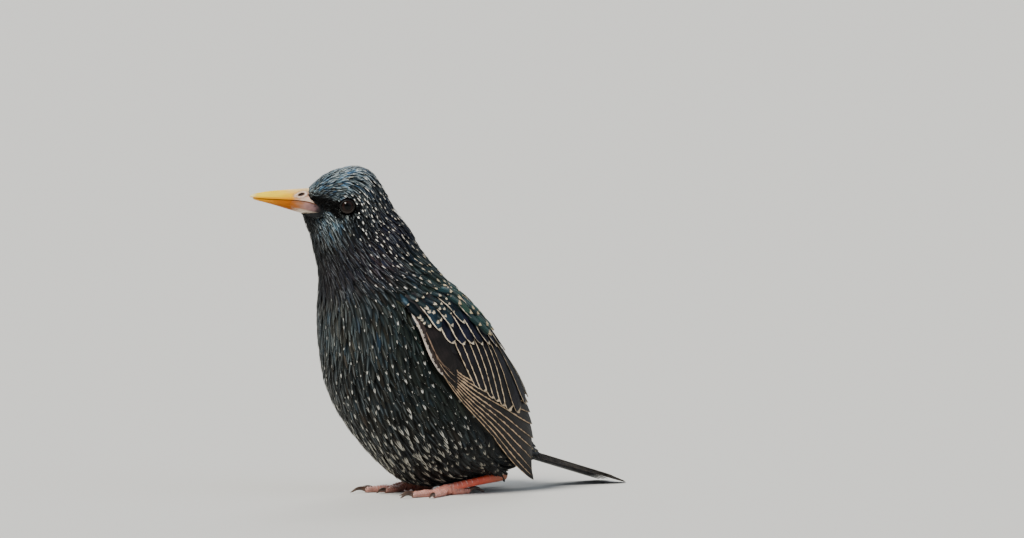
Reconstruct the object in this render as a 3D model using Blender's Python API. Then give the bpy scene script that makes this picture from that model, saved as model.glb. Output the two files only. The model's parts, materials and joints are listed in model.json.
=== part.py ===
"""A life-size starling, perched low on both feet with its head turned to its right.

The bird faces -X, its left side is -Y and the floor is z = 0. Every size is in millimetres on the
bird, and is turned to metres when a mesh is made. The body is one loft through pairs of outline
points, parted by thin cuts into head, neck and torso. Each wing and the tail are plates of vanes.
"""

import math
import random

import bmesh
import bpy
import numpy as np
from mathutils import Matrix, Vector
from mathutils.bvhtree import BVHTree

TO_METRES = 0.001
GAP = 0.3

# Where the middle of the part's box falls in the drawing's own coordinates
BOX_MIDDLE = (10.915, 0.0)

# The head turns about an upright axis through the neck
HEAD_TURN = math.radians(30)
TURN_AXIS_X = -36.0
TURN_STARTS_Z = 78.0
TURN_ENDS_Z = 112.0

# Outline of the body from the bill's root to the vent: the throat or belly point, the crown or
# back point, as x and z, and the half width between them
BODY_STATIONS = [
    ((-61.6, 119.3), (-58.8, 128.9), 4.2),
    ((-60.2, 115.6), (-55.2, 132.3), 6.8),
    ((-59.2, 112.5), (-50.5, 135.6), 8.8),
    ((-58.0, 110.0), (-44.0, 137.8), 11.0),
    ((-57.3, 107.3), (-37.0, 138.4), 12.7),
    ((-56.6, 104.5), (-30.9, 135.3), 13.5),
    ((-56.0, 101.5), (-26.0, 128.0), 14.3),
    ((-55.3, 98.0), (-21.4, 119.5), 15.6),
    ((-54.6, 93.5), (-15.8, 112.5), 17.6),
    ((-54.0, 88.0), (-11.0, 104.0), 20.6),
    ((-53.5, 81.0), (-3.5, 95.5), 24.6),
    ((-53.2, 72.0), (8.0, 85.0), 28.2),
    ((-52.2, 60.0), (17.8, 74.0), 29.6),
    ((-49.5, 47.0), (26.0, 63.5), 30.4),
    ((-43.5, 35.0), (32.0, 52.5), 30.4),
    ((-34.5, 23.5), (37.5, 42.0), 29.0),
    ((-22.0, 11.6), (42.0, 34.0), 26.0),
    ((-11.5, 4.4), (45.5, 27.5), 21.5),
    ((4.0, 2.6), (49.0, 22.5), 16.2),
    ((21.0, 3.6), (52.0, 19.0), 12.0),
    ((35.0, 7.4), (54.0, 16.5), 8.4),
]
BODY_SIDES = 28
HEAD_ENDS_AT = 6.5
NECK_ENDS_AT = 9.5

# The head's own frame: f points along the bill, g points up
HEAD_CENTRE = (-39.0, 124.0)

# Stations of the two halves of the bill: f, top g, bottom g, half width
UPPER_BILL = [
    (43.4, 2.2, 1.5, 0.5),
    (41.0, 2.95, 1.1, 1.1),
    (36.0, 3.8, 0.7, 1.8),
    (30.0, 4.3, 0.4, 2.4),
    (24.0, 4.75, 0.1, 3.0),
    (19.0, 5.0, -0.7, 3.8),
    (15.0, 4.6, -2.1, 4.9),
]
LOWER_BILL = [
    (42.2, 0.95, 0.45, 0.5),
    (38.0, 0.45, -0.6, 1.2),
    (33.0, 0.2, -2.0, 1.9),
    (27.7, -0.05, -3.6, 2.5),
    (22.7, -0.5, -5.1, 3.2),
    (18.5, -1.1, -6.3, 4.2),
    (14.5, -2.5, -7.0, 5.2),
]
# The bare sides of the bill's root, which feathers leave open back to the corner of the mouth
BARE_SIDES = [
    (30.0, 6.0, -4.4),
    (20.4, 5.6, -5.6),
    (19.4, 3.0, -6.0),
    (17.2, 0.2, -6.9),
    (15.4, -2.0, -6.9),
]
BARE_HALF_WIDTH = 12.0
BILL_ARC_POINTS = 9
BILL_ROUNDNESS = 0.85
NOSTRIL_AT = (22.0, 2.2)
NOSTRIL_RADII = (1.4, 0.9, 0.5)

EYE_AT = (4.0, -2.1)
EYE_RADIUS = 4.2
EYE_OPENING_RADIUS = 2.95
LID_THICKNESS = 0.55

# Curves of the left wing from its bend to its tip: the upper edge beside the spine, the lower
# edge along the flank, and the inner axis that both are bent round
WING_UPPER = [
    (-13.0, -15.0, 94.0),
    (0.0, -12.0, 88.5),
    (13.0, -9.5, 78.5),
    (26.0, -6.5, 65.0),
    (39.5, -6.0, 48.5),
    (47.5, -6.0, 30.0),
    (48.8, -10.0, 5.0),
]
WING_LOWER = [
    (-34.0, -26.0, 84.0),
    (-29.0, -30.5, 73.0),
    (-21.5, -32.0, 57.0),
    (-7.5, -31.0, 41.0),
    (10.0, -27.0, 27.0),
    (27.6, -20.0, 12.8),
    (44.5, -12.5, 1.2),
]
WING_AXIS = [
    (-33.0, 0.0, 90.0),
    (-22.0, 0.0, 78.0),
    (-11.0, 0.0, 64.0),
    (2.0, 0.0, 51.0),
    (16.0, 0.0, 37.0),
    (31.0, 0.0, 24.0),
    (45.0, -1.0, 13.0),
]
WING_CORE_DEPTH = 4.0
WING_CORE_RISE = (0.45, -1.75)
WING_CORE_END = 0.6
VANE_THICKNESS = 0.55
VANE_TILT = 0.55
ROOT_SINKS = 0.5

# Tiers of vanes from the lowest to the highest: how many, where the first and the last begin and
# end along the wing, the stretch across the wing that they share out, and how high their tips
# lie. Across, 1 is the wing's lower edge, 0 the edge beside the spine, and None the place where
# the primaries' bundle ends.
WING_TIERS = [
    (7, (0.27, 0.30), (1.0, 0.70), (1.0, None), (-1.6, -1.25)),
    (5, (0.22, 0.27), (0.47, 0.63), (None, 0.36), (-1.15, -0.95)),
    (3, (0.26, 0.29), (0.66, 0.52), (0.40, 0.0), (-0.85, -0.5)),
    (2, (0.15, 0.16), (0.40, 0.35), (0.97, 0.76), (-0.15, -0.1)),
    (6, (0.11, 0.21), (0.25, 0.41), (0.80, 0.0), (0.0, 0.5)),
    (1, (0.07, 0.07), (0.345, 0.345), (0.97, 0.82), (0.65, 0.65)),
    (5, (0.05, 0.12), (0.15, 0.27), (0.90, 0.0), (0.75, 0.95)),
    (4, (0.0, 0.03), (0.09, 0.155), (0.92, 0.0), (0.9, 1.0)),
]
VANE_COVERS = 1.45
# The bundle's end across the wing, at even steps along it
BUNDLE_EDGE = [0.84, 0.80, 0.74, 0.66, 0.46, 0.20, 0.03]

# The tail lies from the rump to the floor
TAIL_ROOT = (40.0, 17.0)
TAIL_TIP = (99.0, -0.35)
TAIL_ROOT_HALF_WIDTH = 6.0
TAIL_TIP_HALF_WIDTH = 12.5
TAIL_CORE_END = 0.5
TAIL_VANES_A_SIDE = 6
TAIL_VANE_STEP = 0.4
TAIL_NOTCH = 0.05

# Left leg: the heel, the joint above the toes and the knee, as x, y and z
HEEL = (26.0, -16.0, 6.9)
TOE_JOINT = (-2.0, -14.0, 3.0)
KNEE = (3.0, -17.0, 20.0)
THIGH_CLEAR_OF_HEEL = 1.5
THIGH_RADII = (2.0, 3.4, 5.2, 6.0, 4.6)
SHANK_RADII = (1.9, 1.95, 1.75, 1.6, 1.55, 1.3)
SHANK_SQUEEZE = 0.8
FOOT_OUTWARD = math.radians(8)
# Each toe: name, its turn from straight ahead, its length, its radius at the root, its claw
TOES = [
    ("inner", -24.0, 15.5, 1.35, 6.0),
    ("middle", 0.0, 20.5, 1.45, 7.0),
    ("outer", 25.0, 15.5, 1.35, 6.0),
    ("hind", 176.0, 12.5, 1.5, 8.5),
]
TOE_TAPER = (1.1, 1.1, 1.0, 0.95, 0.88, 0.72)
TOE_SINKS = 0.2
CLAW_TAPER = (0.68, 0.6, 0.45, 0.27, 0.1)
JOINT_RADII = (2.3, 2.3, 2.0)

BLACK_GREEN = (0.012, 0.022, 0.022)
FLIGHT_BROWN = (0.03, 0.024, 0.022)
BILL_YELLOW = (0.85, 0.48, 0.05)
EYE_BROWN = (0.02, 0.012, 0.01)
LEG_RED = (0.6, 0.16, 0.1)
CLAW_BROWN = (0.08, 0.05, 0.04)


def clear_scene():
    for obj in list(bpy.data.objects):
        bpy.data.objects.remove(obj)


def material(name, colour, roughness):
    made = bpy.data.materials.new(name)
    made.use_nodes = True
    shader = made.node_tree.nodes["Principled BSDF"]
    shader.inputs["Base Color"].default_value = (*colour, 1.0)
    shader.inputs["Roughness"].default_value = roughness
    shader.inputs["Metallic"].default_value = 0.0
    return made


def spline(knots, u):
    """The point at u, from 0 to 1, on the smooth curve through evenly spaced knots."""
    knots = np.asarray(knots, float)
    last = len(knots) - 1
    place = min(max(u, 0.0), 1.0) * last
    i = min(int(place), last - 1)
    f = place - i
    a, b, c, d = (knots[min(max(j, 0), last)] for j in (i - 1, i, i + 1, i + 2))
    bend = (2 * a - 5 * b + 4 * c - d) * f + (3 * b - a - 3 * c + d) * f * f
    return 0.5 * (2 * b + (c - a) * f + bend * f)


def smooth(x):
    x = min(max(x, 0.0), 1.0)
    return x * x * (3 - 2 * x)


def mix(a, b, share):
    return a + (b - a) * share


def turned(point):
    """A point of the straight bird, carried round by the turn of the head and neck."""
    x, y, z = point
    share = smooth((z - TURN_STARTS_Z) / (TURN_ENDS_Z - TURN_STARTS_Z))
    angle = -HEAD_TURN * share
    dx = x - TURN_AXIS_X
    return Vector(
        (
            TURN_AXIS_X + dx * math.cos(angle) - y * math.sin(angle),
            dx * math.sin(angle) + y * math.cos(angle),
            z,
        )
    )


def head_point(f, side, g):
    """A point given along the bill, to the bird's left and upwards from the head's centre."""
    return turned((HEAD_CENTRE[0] - f, -side, HEAD_CENTRE[1] + g))


def body_ring(k, sides=BODY_SIDES):
    """Points round the body at station k, which may lie between two stations."""
    flat = [(*v, *d, w) for v, d, w in BODY_STATIONS]
    vx, vz, dx, dz, w = spline(flat, k / (len(flat) - 1))
    points = []
    for j in range(sides):
        angle = 2 * math.pi * j / sides
        along = 0.5 - 0.5 * math.cos(angle)
        points.append(
            turned((mix(vx, dx, along), -w * math.sin(angle), mix(vz, dz, along)))
        )
    return points


def loft(rings):
    """A closed mesh through rings of equal length, with flat ends."""
    bm = bmesh.new()
    loops = []
    for ring in rings:
        verts = [bm.verts.new(p) for p in ring]
        loops.append(
            [bm.edges.new((verts[i - 1], verts[i])) for i in range(len(verts))]
        )
    for one, other in zip(loops, loops[1:]):
        bmesh.ops.bridge_loops(bm, edges=one + other)
    for end in (loops[0], loops[-1]):
        bmesh.ops.contextual_create(bm, geom=end)
    bmesh.ops.triangulate(bm, faces=bm.faces)
    bmesh.ops.recalc_face_normals(bm, faces=bm.faces)
    return bm


def tube(path, radii, sides=8, squeeze=1.0):
    """A round bar along a path, with a radius at each of its points."""
    path = [Vector(p) for p in path]
    rings = []
    for i, (point, radius) in enumerate(zip(path, radii)):
        ahead = path[min(i + 1, len(path) - 1)] - path[max(i - 1, 0)]
        across = ahead.cross(Vector((0, 0, 1))).normalized()
        upward = across.cross(ahead).normalized()
        ring = []
        for j in range(sides):
            angle = 2 * math.pi * j / sides
            side = across * math.cos(angle) * squeeze + upward * math.sin(angle)
            ring.append(point + side * radius)
        rings.append(ring)
    return loft(rings)


def ball(centre, radii, segments=14, rings=8):
    bm = bmesh.new()
    bmesh.ops.create_uvsphere(bm, u_segments=segments, v_segments=rings, radius=1.0)
    bmesh.ops.transform(
        bm,
        matrix=Matrix.Translation(centre) @ Matrix.Diagonal((*radii, 1.0)),
        verts=bm.verts,
    )
    return bm


def plate(place, low, high, columns, rows):
    """A closed plate: place(u, v, lift) gives its points, from the lift low to the lift high.

    u runs along it and v across it, both from 0 to 1. Both faces have the same triangles.
    """
    bm = bmesh.new()
    bmesh.ops.create_grid(bm, x_segments=columns, y_segments=rows, size=0.5)
    bmesh.ops.triangulate(bm, faces=bm.faces)
    under = list(bm.verts)
    raised = bmesh.ops.extrude_face_region(bm, geom=bm.faces[:], use_keep_orig=True)
    over = [item for item in raised["geom"] if isinstance(item, bmesh.types.BMVert)]
    for verts, lift in ((under, low), (over, high)):
        for vert in verts:
            u, v = vert.co.x + 0.5, vert.co.y + 0.5
            height = lift(u, v) if callable(lift) else lift
            vert.co = place(u, v, height)
    bmesh.ops.triangulate(bm, faces=bm.faces)
    bmesh.ops.recalc_face_normals(bm, faces=bm.faces)
    return bm


def wing_point(s, t, lift):
    """A point of the left wing: s from bend to tip, t from upper to lower edge, lift outwards."""
    centre = Vector(spline(WING_AXIS, s))
    upper = Vector(spline(WING_UPPER, s)) - centre
    lower = Vector(spline(WING_LOWER, s)) - centre
    angle = upper.angle(lower)
    direction = (
        upper.normalized() * math.sin((1 - t) * angle)
        + lower.normalized() * math.sin(t * angle)
    ) / math.sin(angle)
    return centre + direction * (mix(upper.length, lower.length, t) + lift)


def object_of(name, bm, finish, shade=True):
    """A named object from a bmesh in millimetres, set so that the part's box is centred."""
    shift = Matrix.Translation((-BOX_MIDDLE[0], -BOX_MIDDLE[1], 0.0))
    bmesh.ops.transform(
        bm, matrix=Matrix.Scale(TO_METRES, 4) @ shift, verts=bm.verts
    )
    mesh = bpy.data.meshes.new(name)
    bm.to_mesh(mesh)
    bm.free()
    if shade:
        mesh.shade_smooth()
        mesh.set_sharp_from_angle(angle=math.radians(45))
    if finish:
        mesh.materials.append(finish)
    obj = bpy.data.objects.new(name, mesh)
    bpy.context.scene.collection.objects.link(obj)
    return obj


def combined(main, others, operation):
    """The main object joined with, or cut by, closed objects, which are then removed."""
    group = bpy.data.collections.new("pieces")
    bpy.context.scene.collection.children.link(group)
    for other in others:
        bpy.context.scene.collection.objects.unlink(other)
        group.objects.link(other)
    modifier = main.modifiers.new(operation.lower(), "BOOLEAN")
    modifier.operation = operation
    modifier.operand_type = "COLLECTION"
    modifier.collection = group
    modifier.solver = "MANIFOLD"
    graph = bpy.context.evaluated_depsgraph_get()
    result = bpy.data.meshes.new_from_object(main.evaluated_get(graph))
    main.modifiers.clear()
    main.data = result
    for other in others:
        bpy.data.objects.remove(other)
    bpy.data.collections.remove(group)
    keep_largest(main.data)
    return main


def keep_largest(mesh):
    """Leaves only the mesh's largest closed surface."""
    bm = bmesh.new()
    bm.from_mesh(mesh)
    bm.verts.ensure_lookup_table()
    unseen = set(bm.verts)
    groups = []
    while unseen:
        start = unseen.pop()
        group, edge_of_group = {start}, [start]
        while edge_of_group:
            vert = edge_of_group.pop()
            for edge in vert.link_edges:
                other = edge.other_vert(vert)
                if other in unseen:
                    unseen.discard(other)
                    group.add(other)
                    edge_of_group.append(other)
        groups.append(group)
    largest = max(groups, key=len)
    extra = [vert for group in groups if group is not largest for vert in group]
    bmesh.ops.delete(bm, geom=extra, context="VERTS")
    bm.to_mesh(mesh)
    bm.free()


def cut_flat(obj):
    """Cuts away what is under the floor's level, and closes the cut."""
    bm = bmesh.new()
    bm.from_mesh(obj.data)
    cut = bmesh.ops.bisect_plane(
        bm,
        geom=bm.verts[:] + bm.edges[:] + bm.faces[:],
        plane_co=(0, 0, 0),
        plane_no=(0, 0, 1),
        clear_inner=True,
    )
    rim = [e for e in cut["geom_cut"] if isinstance(e, bmesh.types.BMEdge)]
    if rim:
        bmesh.ops.holes_fill(bm, edges=rim, sides=0)
    bmesh.ops.triangulate(bm, faces=bm.faces)
    bm.to_mesh(obj.data)
    bm.free()


def mirrored(obj, name):
    """A copy of a left-hand piece for the right side."""
    mesh = obj.data.copy()
    mesh.transform(Matrix.Diagonal((1, -1, 1, 1)))
    mesh.flip_normals()
    copy = bpy.data.objects.new(name, mesh)
    bpy.context.scene.collection.objects.link(copy)
    return copy


def body_part(name, first, last, finish):
    """A stretch of the body's loft between two places on its row of stations."""
    whole = [k for k in range(len(BODY_STATIONS)) if first < k < last]
    return object_of(name, loft([body_ring(k) for k in [first, *whole, last]]), finish)


def station_gap(k):
    """How far to move along the stations for half of the usual gap."""
    here = sum(body_ring(k - 0.05), Vector()) / BODY_SIDES
    there = sum(body_ring(k + 0.05), Vector()) / BODY_SIDES
    return 0.1 * 0.5 * GAP / (there - here).length


def bare_sides():
    """What is cut from the head's feathers on both sides of the bill's root."""
    rings = []
    for f, top, bottom in BARE_SIDES:
        w = BARE_HALF_WIDTH
        corners = [(w, top), (-w, top), (-w, bottom), (w, bottom)]
        rings.append([head_point(f, side, g) for side, g in corners])
    return loft(rings)


def bill_half(stations, upper, grow=0.0):
    """A half of the bill as a loft, rounded away from the mouth line and flat along it."""
    rings = []
    for f, top, bottom, half_width in stations:
        ring = []
        width = half_width + grow
        outer, inner = (top, bottom) if upper else (bottom, top)
        outer += grow if upper else -grow
        inner -= grow if upper else -grow
        for j in range(BILL_ARC_POINTS):
            angle = math.pi * j / (BILL_ARC_POINTS - 1)
            height = mix(inner, outer, math.sin(angle) ** BILL_ROUNDNESS)
            ring.append(head_point(f, width * math.cos(angle), height))
        rings.append(ring)
    return loft(rings)


def shank_path():
    heel, joint = Vector(HEEL), Vector(TOE_JOINT)
    return [heel.lerp(joint, share) for share in (0.0, 0.12, 0.3, 0.6, 0.85, 1.0)]


def toe_path(turn, length, radius):
    """The middle line of a toe along the floor, from the joint to the claw."""
    joint = Vector(TOE_JOINT)
    ahead = Matrix.Rotation(math.radians(turn) + FOOT_OUTWARD, 3, "Z") @ Vector((-1, 0, 0))
    low = radius - TOE_SINKS
    steps = [(0.0, joint.z), (0.16, radius + 0.9), (0.34, low), (0.55, low)]
    steps += [(0.78, low - 0.1), (1.0, low - 0.15)]
    return [Vector((*(joint + ahead * length * share).xy, z)) for share, z in steps], ahead


def claw_path(turn, length, radius, claw):
    path, ahead = toe_path(turn, length, radius)
    start = path[-1] + ahead * GAP
    rise = 0.22 * claw
    steps = [(0.0, 0.0), (0.3, 0.55), (0.6, 0.45), (0.85, -0.15), (1.0, -0.62)]
    low = 0.35
    return [
        start + ahead * claw * share + Vector((0, 0, max(rise * z, low - start.z)))
        for share, z in steps
    ]


def build_head(coat):
    head = body_part("head", 0, HEAD_ENDS_AT - station_gap(HEAD_ENDS_AT), coat)
    surface = BVHTree.FromPolygons(
        [v.co for v in head.data.vertices], [p.vertices for p in head.data.polygons]
    )
    shift = Vector((BOX_MIDDLE[0], BOX_MIDDLE[1], 0.0))
    eyes, lids, sockets = [], [], []
    for name, side in (("eye_left", 1), ("eye_right", -1)):
        inside = head_point(EYE_AT[0], 0.0, EYE_AT[1])
        outside = head_point(EYE_AT[0], side * 30.0, EYE_AT[1])
        outward = (outside - inside).normalized()
        hit = surface.ray_cast((outside - shift) * TO_METRES, -outward)[0]
        rim = hit / TO_METRES + shift
        depth = math.sqrt(EYE_RADIUS**2 - EYE_OPENING_RADIUS**2)
        centre = rim - outward * depth
        eyes.append((name, ball(centre, [EYE_RADIUS] * 3)))
        sockets.append(ball(centre, [EYE_RADIUS + GAP] * 3))
        lids.append(lid_ring(rim, outward))
    head = combined(head, [object_of("lid", bm, None) for bm in lids], "UNION")
    cutters = [object_of("socket", bm, None) for bm in [*sockets, bare_sides()]]
    cutters.append(object_of("upper", bill_half(UPPER_BILL, True, GAP), None))
    cutters.append(object_of("lower", bill_half(LOWER_BILL, False, GAP), None))
    combined(head, cutters, "DIFFERENCE")
    return eyes


def lid_ring(centre, outward):
    """A thin raised ring of skin round the eye."""
    bm = bmesh.new()
    turn = outward.to_track_quat("Z", "Y").to_matrix().to_4x4()
    radius = EYE_OPENING_RADIUS + 0.6 * LID_THICKNESS
    section = bmesh.ops.create_circle(bm, segments=6, radius=LID_THICKNESS)["verts"]
    stand = Matrix.Translation((radius, 0, 0)) @ Matrix.Rotation(math.pi / 2, 4, "X")
    bmesh.ops.transform(bm, matrix=stand, verts=section)
    bmesh.ops.spin(
        bm,
        geom=bm.edges[:] + bm.verts[:],
        cent=(0, 0, 0),
        axis=(0, 0, 1),
        angle=2 * math.pi,
        steps=18,
        use_merge=True,
    )
    bmesh.ops.remove_doubles(bm, verts=bm.verts, dist=0.001)
    bmesh.ops.recalc_face_normals(bm, faces=bm.faces)
    bmesh.ops.transform(bm, matrix=Matrix.Translation(centre) @ turn, verts=bm.verts)
    return bm


def build_bill(finish):
    upper = object_of("bill_upper", bill_half(UPPER_BILL, True), finish)
    nostrils = []
    for side in (1, -1):
        centre = head_point(NOSTRIL_AT[0], side * 3.0, NOSTRIL_AT[1])
        bm = ball((0, 0, 0), NOSTRIL_RADII, 10, 6)
        spin = Matrix.Rotation(-HEAD_TURN, 4, "Z")
        bmesh.ops.transform(bm, matrix=Matrix.Translation(centre) @ spin, verts=bm.verts)
        nostrils.append(object_of("nostril", bm, None))
    combined(upper, nostrils, "DIFFERENCE")
    object_of("bill_lower", bill_half(LOWER_BILL, False), finish)


def core_low(s, t):
    """How deep the wing's flesh reaches: most at the shoulder, and nothing at the tip."""
    flesh = smooth((0.75 - s) / 0.5) * math.sin(math.pi * min(max(t, 0.03), 0.97)) ** 0.5
    return WING_CORE_RISE[1] - 0.7 - WING_CORE_DEPTH * flesh


def core_top(s, t):
    """How high the wing's flesh and its smallest feathers stand: a slope that carries the tiers."""
    return mix(*WING_CORE_RISE, smooth((s - 0.15 * (0.8 - t)) / 0.42))


def vane(place, columns, rows=1):
    """A vane of even thickness, from its root at u = 0 to its tip at u = 1."""

    def closer_at_tip(u, v, lift):
        return place(1 - (1 - u) ** 1.4, v, lift)

    half = 0.5 * VANE_THICKNESS
    return plate(closer_at_tip, -half, half, columns, rows)


def vane_width(u):
    """A vane's width as a share of its full width: slim at the root and round at the tip."""
    if u < 0.62:
        return 0.6 + 0.4 * smooth(u / 0.3)
    return math.sqrt(max(1 - ((u - 0.62) / 0.39) ** 2, 0.03))


def wing_vane(starts, end, edges, tip_lift, columns):
    """A vane of the wing, laid between two lines of equal share across it."""

    def place(u, v, lift):
        s = mix(starts, end, u)
        outer, inner = edges(s)
        shaft = mix(outer, inner, 0.4)
        t = mix(shaft, mix(outer, inner, v), vane_width(u))
        root_lift = core_top(starts, t) - ROOT_SINKS
        height = mix(root_lift, tip_lift, smooth(u / 0.55)) + VANE_TILT * (0.5 - v)
        return wing_point(s, t, height + lift)

    return vane(place, columns)


def tier_vanes(tier, draw):
    """The vanes of one tier, each one's inner edge under the next one's outer edge."""
    count, starts, ends, (outer, inner), lifts = tier
    made = []
    for i in range(count):

        def edges(s, i=i):
            bundle = spline(BUNDLE_EDGE, s)
            first = bundle if outer is None else outer
            last = bundle if inner is None else inner
            step = (last - first) / count
            return first + step * i, max(first + step * (i + VANE_COVERS), -0.02)

        share = i / max(count - 1, 1)
        end = mix(*ends, share) + draw.uniform(-0.006, 0.006)
        columns = 5 if end > 0.45 else 4
        made.append(wing_vane(mix(*starts, share), end, edges, mix(*lifts, share), columns))
    return made


def build_wing(finish):
    def place(u, v, lift):
        return wing_point(u * WING_CORE_END, v, lift)

    def low(u, v):
        return core_low(u * WING_CORE_END, v)

    def high(u, v):
        return core_top(u * WING_CORE_END, v)

    wing = object_of("wing_left", plate(place, low, high, 6, 5), finish)
    draw = random.Random(11)
    vanes = [bm for tier in WING_TIERS for bm in tier_vanes(tier, draw)]
    combined(wing, [object_of("vane", bm, None) for bm in vanes], "UNION")
    mirrored(wing, "wing_right")


def wing_cutters():
    """What is cut from the torso so that each wing lies in it, on the same lines as its flesh."""
    along = [-0.04, *(0.1 * i for i in range(10)), 1.02]
    across = [-0.06, *(0.2 * i for i in range(6)), 1.04]

    def on_lines(u, v):
        s = np.interp(u * (len(along) - 1), range(len(along)), along)
        return s, np.interp(v * (len(across) - 1), range(len(across)), across)

    def place(u, v, lift):
        return wing_point(*on_lines(u, v), lift)

    def low(u, v):
        return core_low(*on_lines(u, v)) - GAP

    cut = plate(place, low, 14.0, len(along) - 1, len(across) - 1)
    left = object_of("wing_cut", cut, None)
    return [left, mirrored(left, "wing_cut_right")]


def tail_point(u, v, lift):
    """A point of the tail: u from root to tip, v from its left to its right edge."""
    x, z = mix(TAIL_ROOT[0], TAIL_TIP[0], u), mix(TAIL_ROOT[1], TAIL_TIP[1], u)
    half = mix(TAIL_ROOT_HALF_WIDTH, TAIL_TIP_HALF_WIDTH, u)
    across = 2 * v - 1
    return Vector((x, half * across, z + lift - 1.2 * across * across * (1 - u)))


def tail_top(u, v):
    return 0.8 + 4.0 * smooth(1 - u / TAIL_CORE_END) * (1 - (2 * v - 1) ** 2)


def tail_low(u, v):
    return -0.2 - 4.0 * smooth(1 - u / TAIL_CORE_END) * (1 - (2 * v - 1) ** 2)


def tail_vanes():
    """Feathers of the tail, from the outermost pair, which lies lowest, to the middle pair."""
    vanes = []
    for k in reversed(range(TAIL_VANES_A_SIDE)):
        for side in (-1, 1):
            middle = side * (k + 0.35) / TAIL_VANES_A_SIDE
            width = 1.15 / TAIL_VANES_A_SIDE * (2.4 if k == 0 else 2.0)
            reach = 1 - TAIL_NOTCH * (1 - k / 4) if k < 4 else 1 - 0.02 * (k - 3)
            height = TAIL_VANE_STEP * (TAIL_VANES_A_SIDE - 1 - k) + (0.12 if side > 0 else 0)

            def place(u, v, lift, middle=middle, width=width, reach=reach, height=height):
                across = middle * 0.82 + width * (v - 0.5) * vane_width(u)
                return tail_point(mix(0.08, reach, u), 0.5 + 0.5 * across, height + lift)

            vanes.append(vane(place, 4))
    return vanes


def build_tail(finish):
    def place(u, v, lift):
        return tail_point(u * TAIL_CORE_END, v, lift)

    def low(u, v):
        return tail_low(u * TAIL_CORE_END, v)

    def high(u, v):
        return tail_top(u * TAIL_CORE_END, v)

    tail = object_of("tail", plate(place, low, high, 5, 4), finish)
    combined(tail, [object_of("vane", bm, None) for bm in tail_vanes()], "UNION")
    combined(tail, wing_cutters(), "DIFFERENCE")
    cut_flat(tail)


def tail_cutter():
    def place(u, v, lift):
        return tail_point(mix(-0.03, 0.6, u), mix(-0.04, 1.04, v), lift)

    def low(u, v):
        return tail_low(mix(-0.03, 0.6, u), mix(-0.04, 1.04, v)) - GAP

    def high(u, v):
        return tail_top(mix(-0.03, 0.6, u), mix(-0.04, 1.04, v)) + GAP

    return object_of("tail_cut", plate(place, low, high, 8, 6), None)


def thigh(grow=0.0):
    heel, knee = Vector(HEEL), Vector(KNEE)
    axis = (knee - heel).normalized()
    start = heel + axis * (THIGH_CLEAR_OF_HEEL - grow)
    path = [start.lerp(knee, share) for share in (0.0, 0.25, 0.55, 0.85, 1.0)]
    return tube(path, [r + grow for r in THIGH_RADII], 10)


def shank(grow=0.0):
    """The scaly lower leg, deeper than it is wide."""
    return tube(shank_path(), [r + grow for r in SHANK_RADII], 10, SHANK_SQUEEZE)


def toes(grow=0.0):
    """The toes and the round joint that they meet in."""
    joint = Vector(TOE_JOINT) - Vector((0, 0, 0.9))
    made = [ball(joint, [r + grow for r in JOINT_RADII], 10, 6)]
    for _, turn, length, radius, _ in TOES:
        path, _ = toe_path(turn, length, radius)
        made.append(tube(path, [radius * w + grow for w in TOE_TAPER]))
    return made


def build_legs(coat, skin, horn):
    thigh_left = object_of("thigh_left", thigh(), coat)
    combined(thigh_left, [object_of("leg_cut", shank(GAP), None)], "DIFFERENCE")
    mirrored(thigh_left, "thigh_right")
    shank_left = object_of("shank_left", shank(), skin)
    mirrored(shank_left, "shank_right")
    middle, *rest = toes()
    foot = object_of("foot_left", middle, skin)
    combined(foot, [object_of("toe", bm, None) for bm in rest], "UNION")
    combined(foot, [object_of("leg_cut", shank(GAP), None)], "DIFFERENCE")
    cut_flat(foot)
    mirrored(foot, "foot_right")
    for name, turn, length, radius, claw in TOES:
        line = claw_path(turn, length, radius, claw)
        widths = [radius * w for w in CLAW_TAPER]
        nail = object_of(f"claw_{name}_left", tube(line, widths, 6, 0.8), horn)
        mirrored(nail, f"claw_{name}_right")


def main():
    clear_scene()
    coat = material("body_feathers", BLACK_GREEN, 0.45)
    flight = material("flight_feathers", FLIGHT_BROWN, 0.55)
    bill = material("bill_horn", BILL_YELLOW, 0.35)
    eye = material("eye", EYE_BROWN, 0.05)
    skin = material("leg_skin", LEG_RED, 0.5)
    horn = material("claw_horn", CLAW_BROWN, 0.4)
    for name, bm in build_head(coat):
        object_of(name, bm, eye)
    build_bill(bill)
    neck_gap = station_gap(NECK_ENDS_AT)
    body_part(
        "neck", HEAD_ENDS_AT + station_gap(HEAD_ENDS_AT), NECK_ENDS_AT - neck_gap, coat
    )
    torso = body_part("torso", NECK_ENDS_AT + neck_gap, len(BODY_STATIONS) - 1, coat)
    cutters = wing_cutters()
    cutters.append(tail_cutter())
    for cutter in (thigh(GAP), shank(GAP), *toes(GAP)):
        left = object_of("leg_cut", cutter, None)
        cutters += [left, mirrored(left, "leg_cut_right")]
    combined(torso, cutters, "DIFFERENCE")
    build_wing(flight)
    build_tail(flight)
    build_legs(coat, skin, horn)


main()
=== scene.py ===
# %% [markdown]
# # A starling at life size
# This lesson dresses a plain, parted model of a starling in its real surfaces: a horny bill, wet
# eyes, scaly legs and a coat of about six thousand feathers. The plain model is the frame. Nothing
# in it moves, and each new piece either stands for some of its parts or grows on them.

# %% Load the frame
import json
import math

import bmesh
import bpy
import numpy as np
from mathutils import Matrix, Vector
from mathutils.bvhtree import BVHTree
from mathutils.kdtree import KDTree

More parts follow.
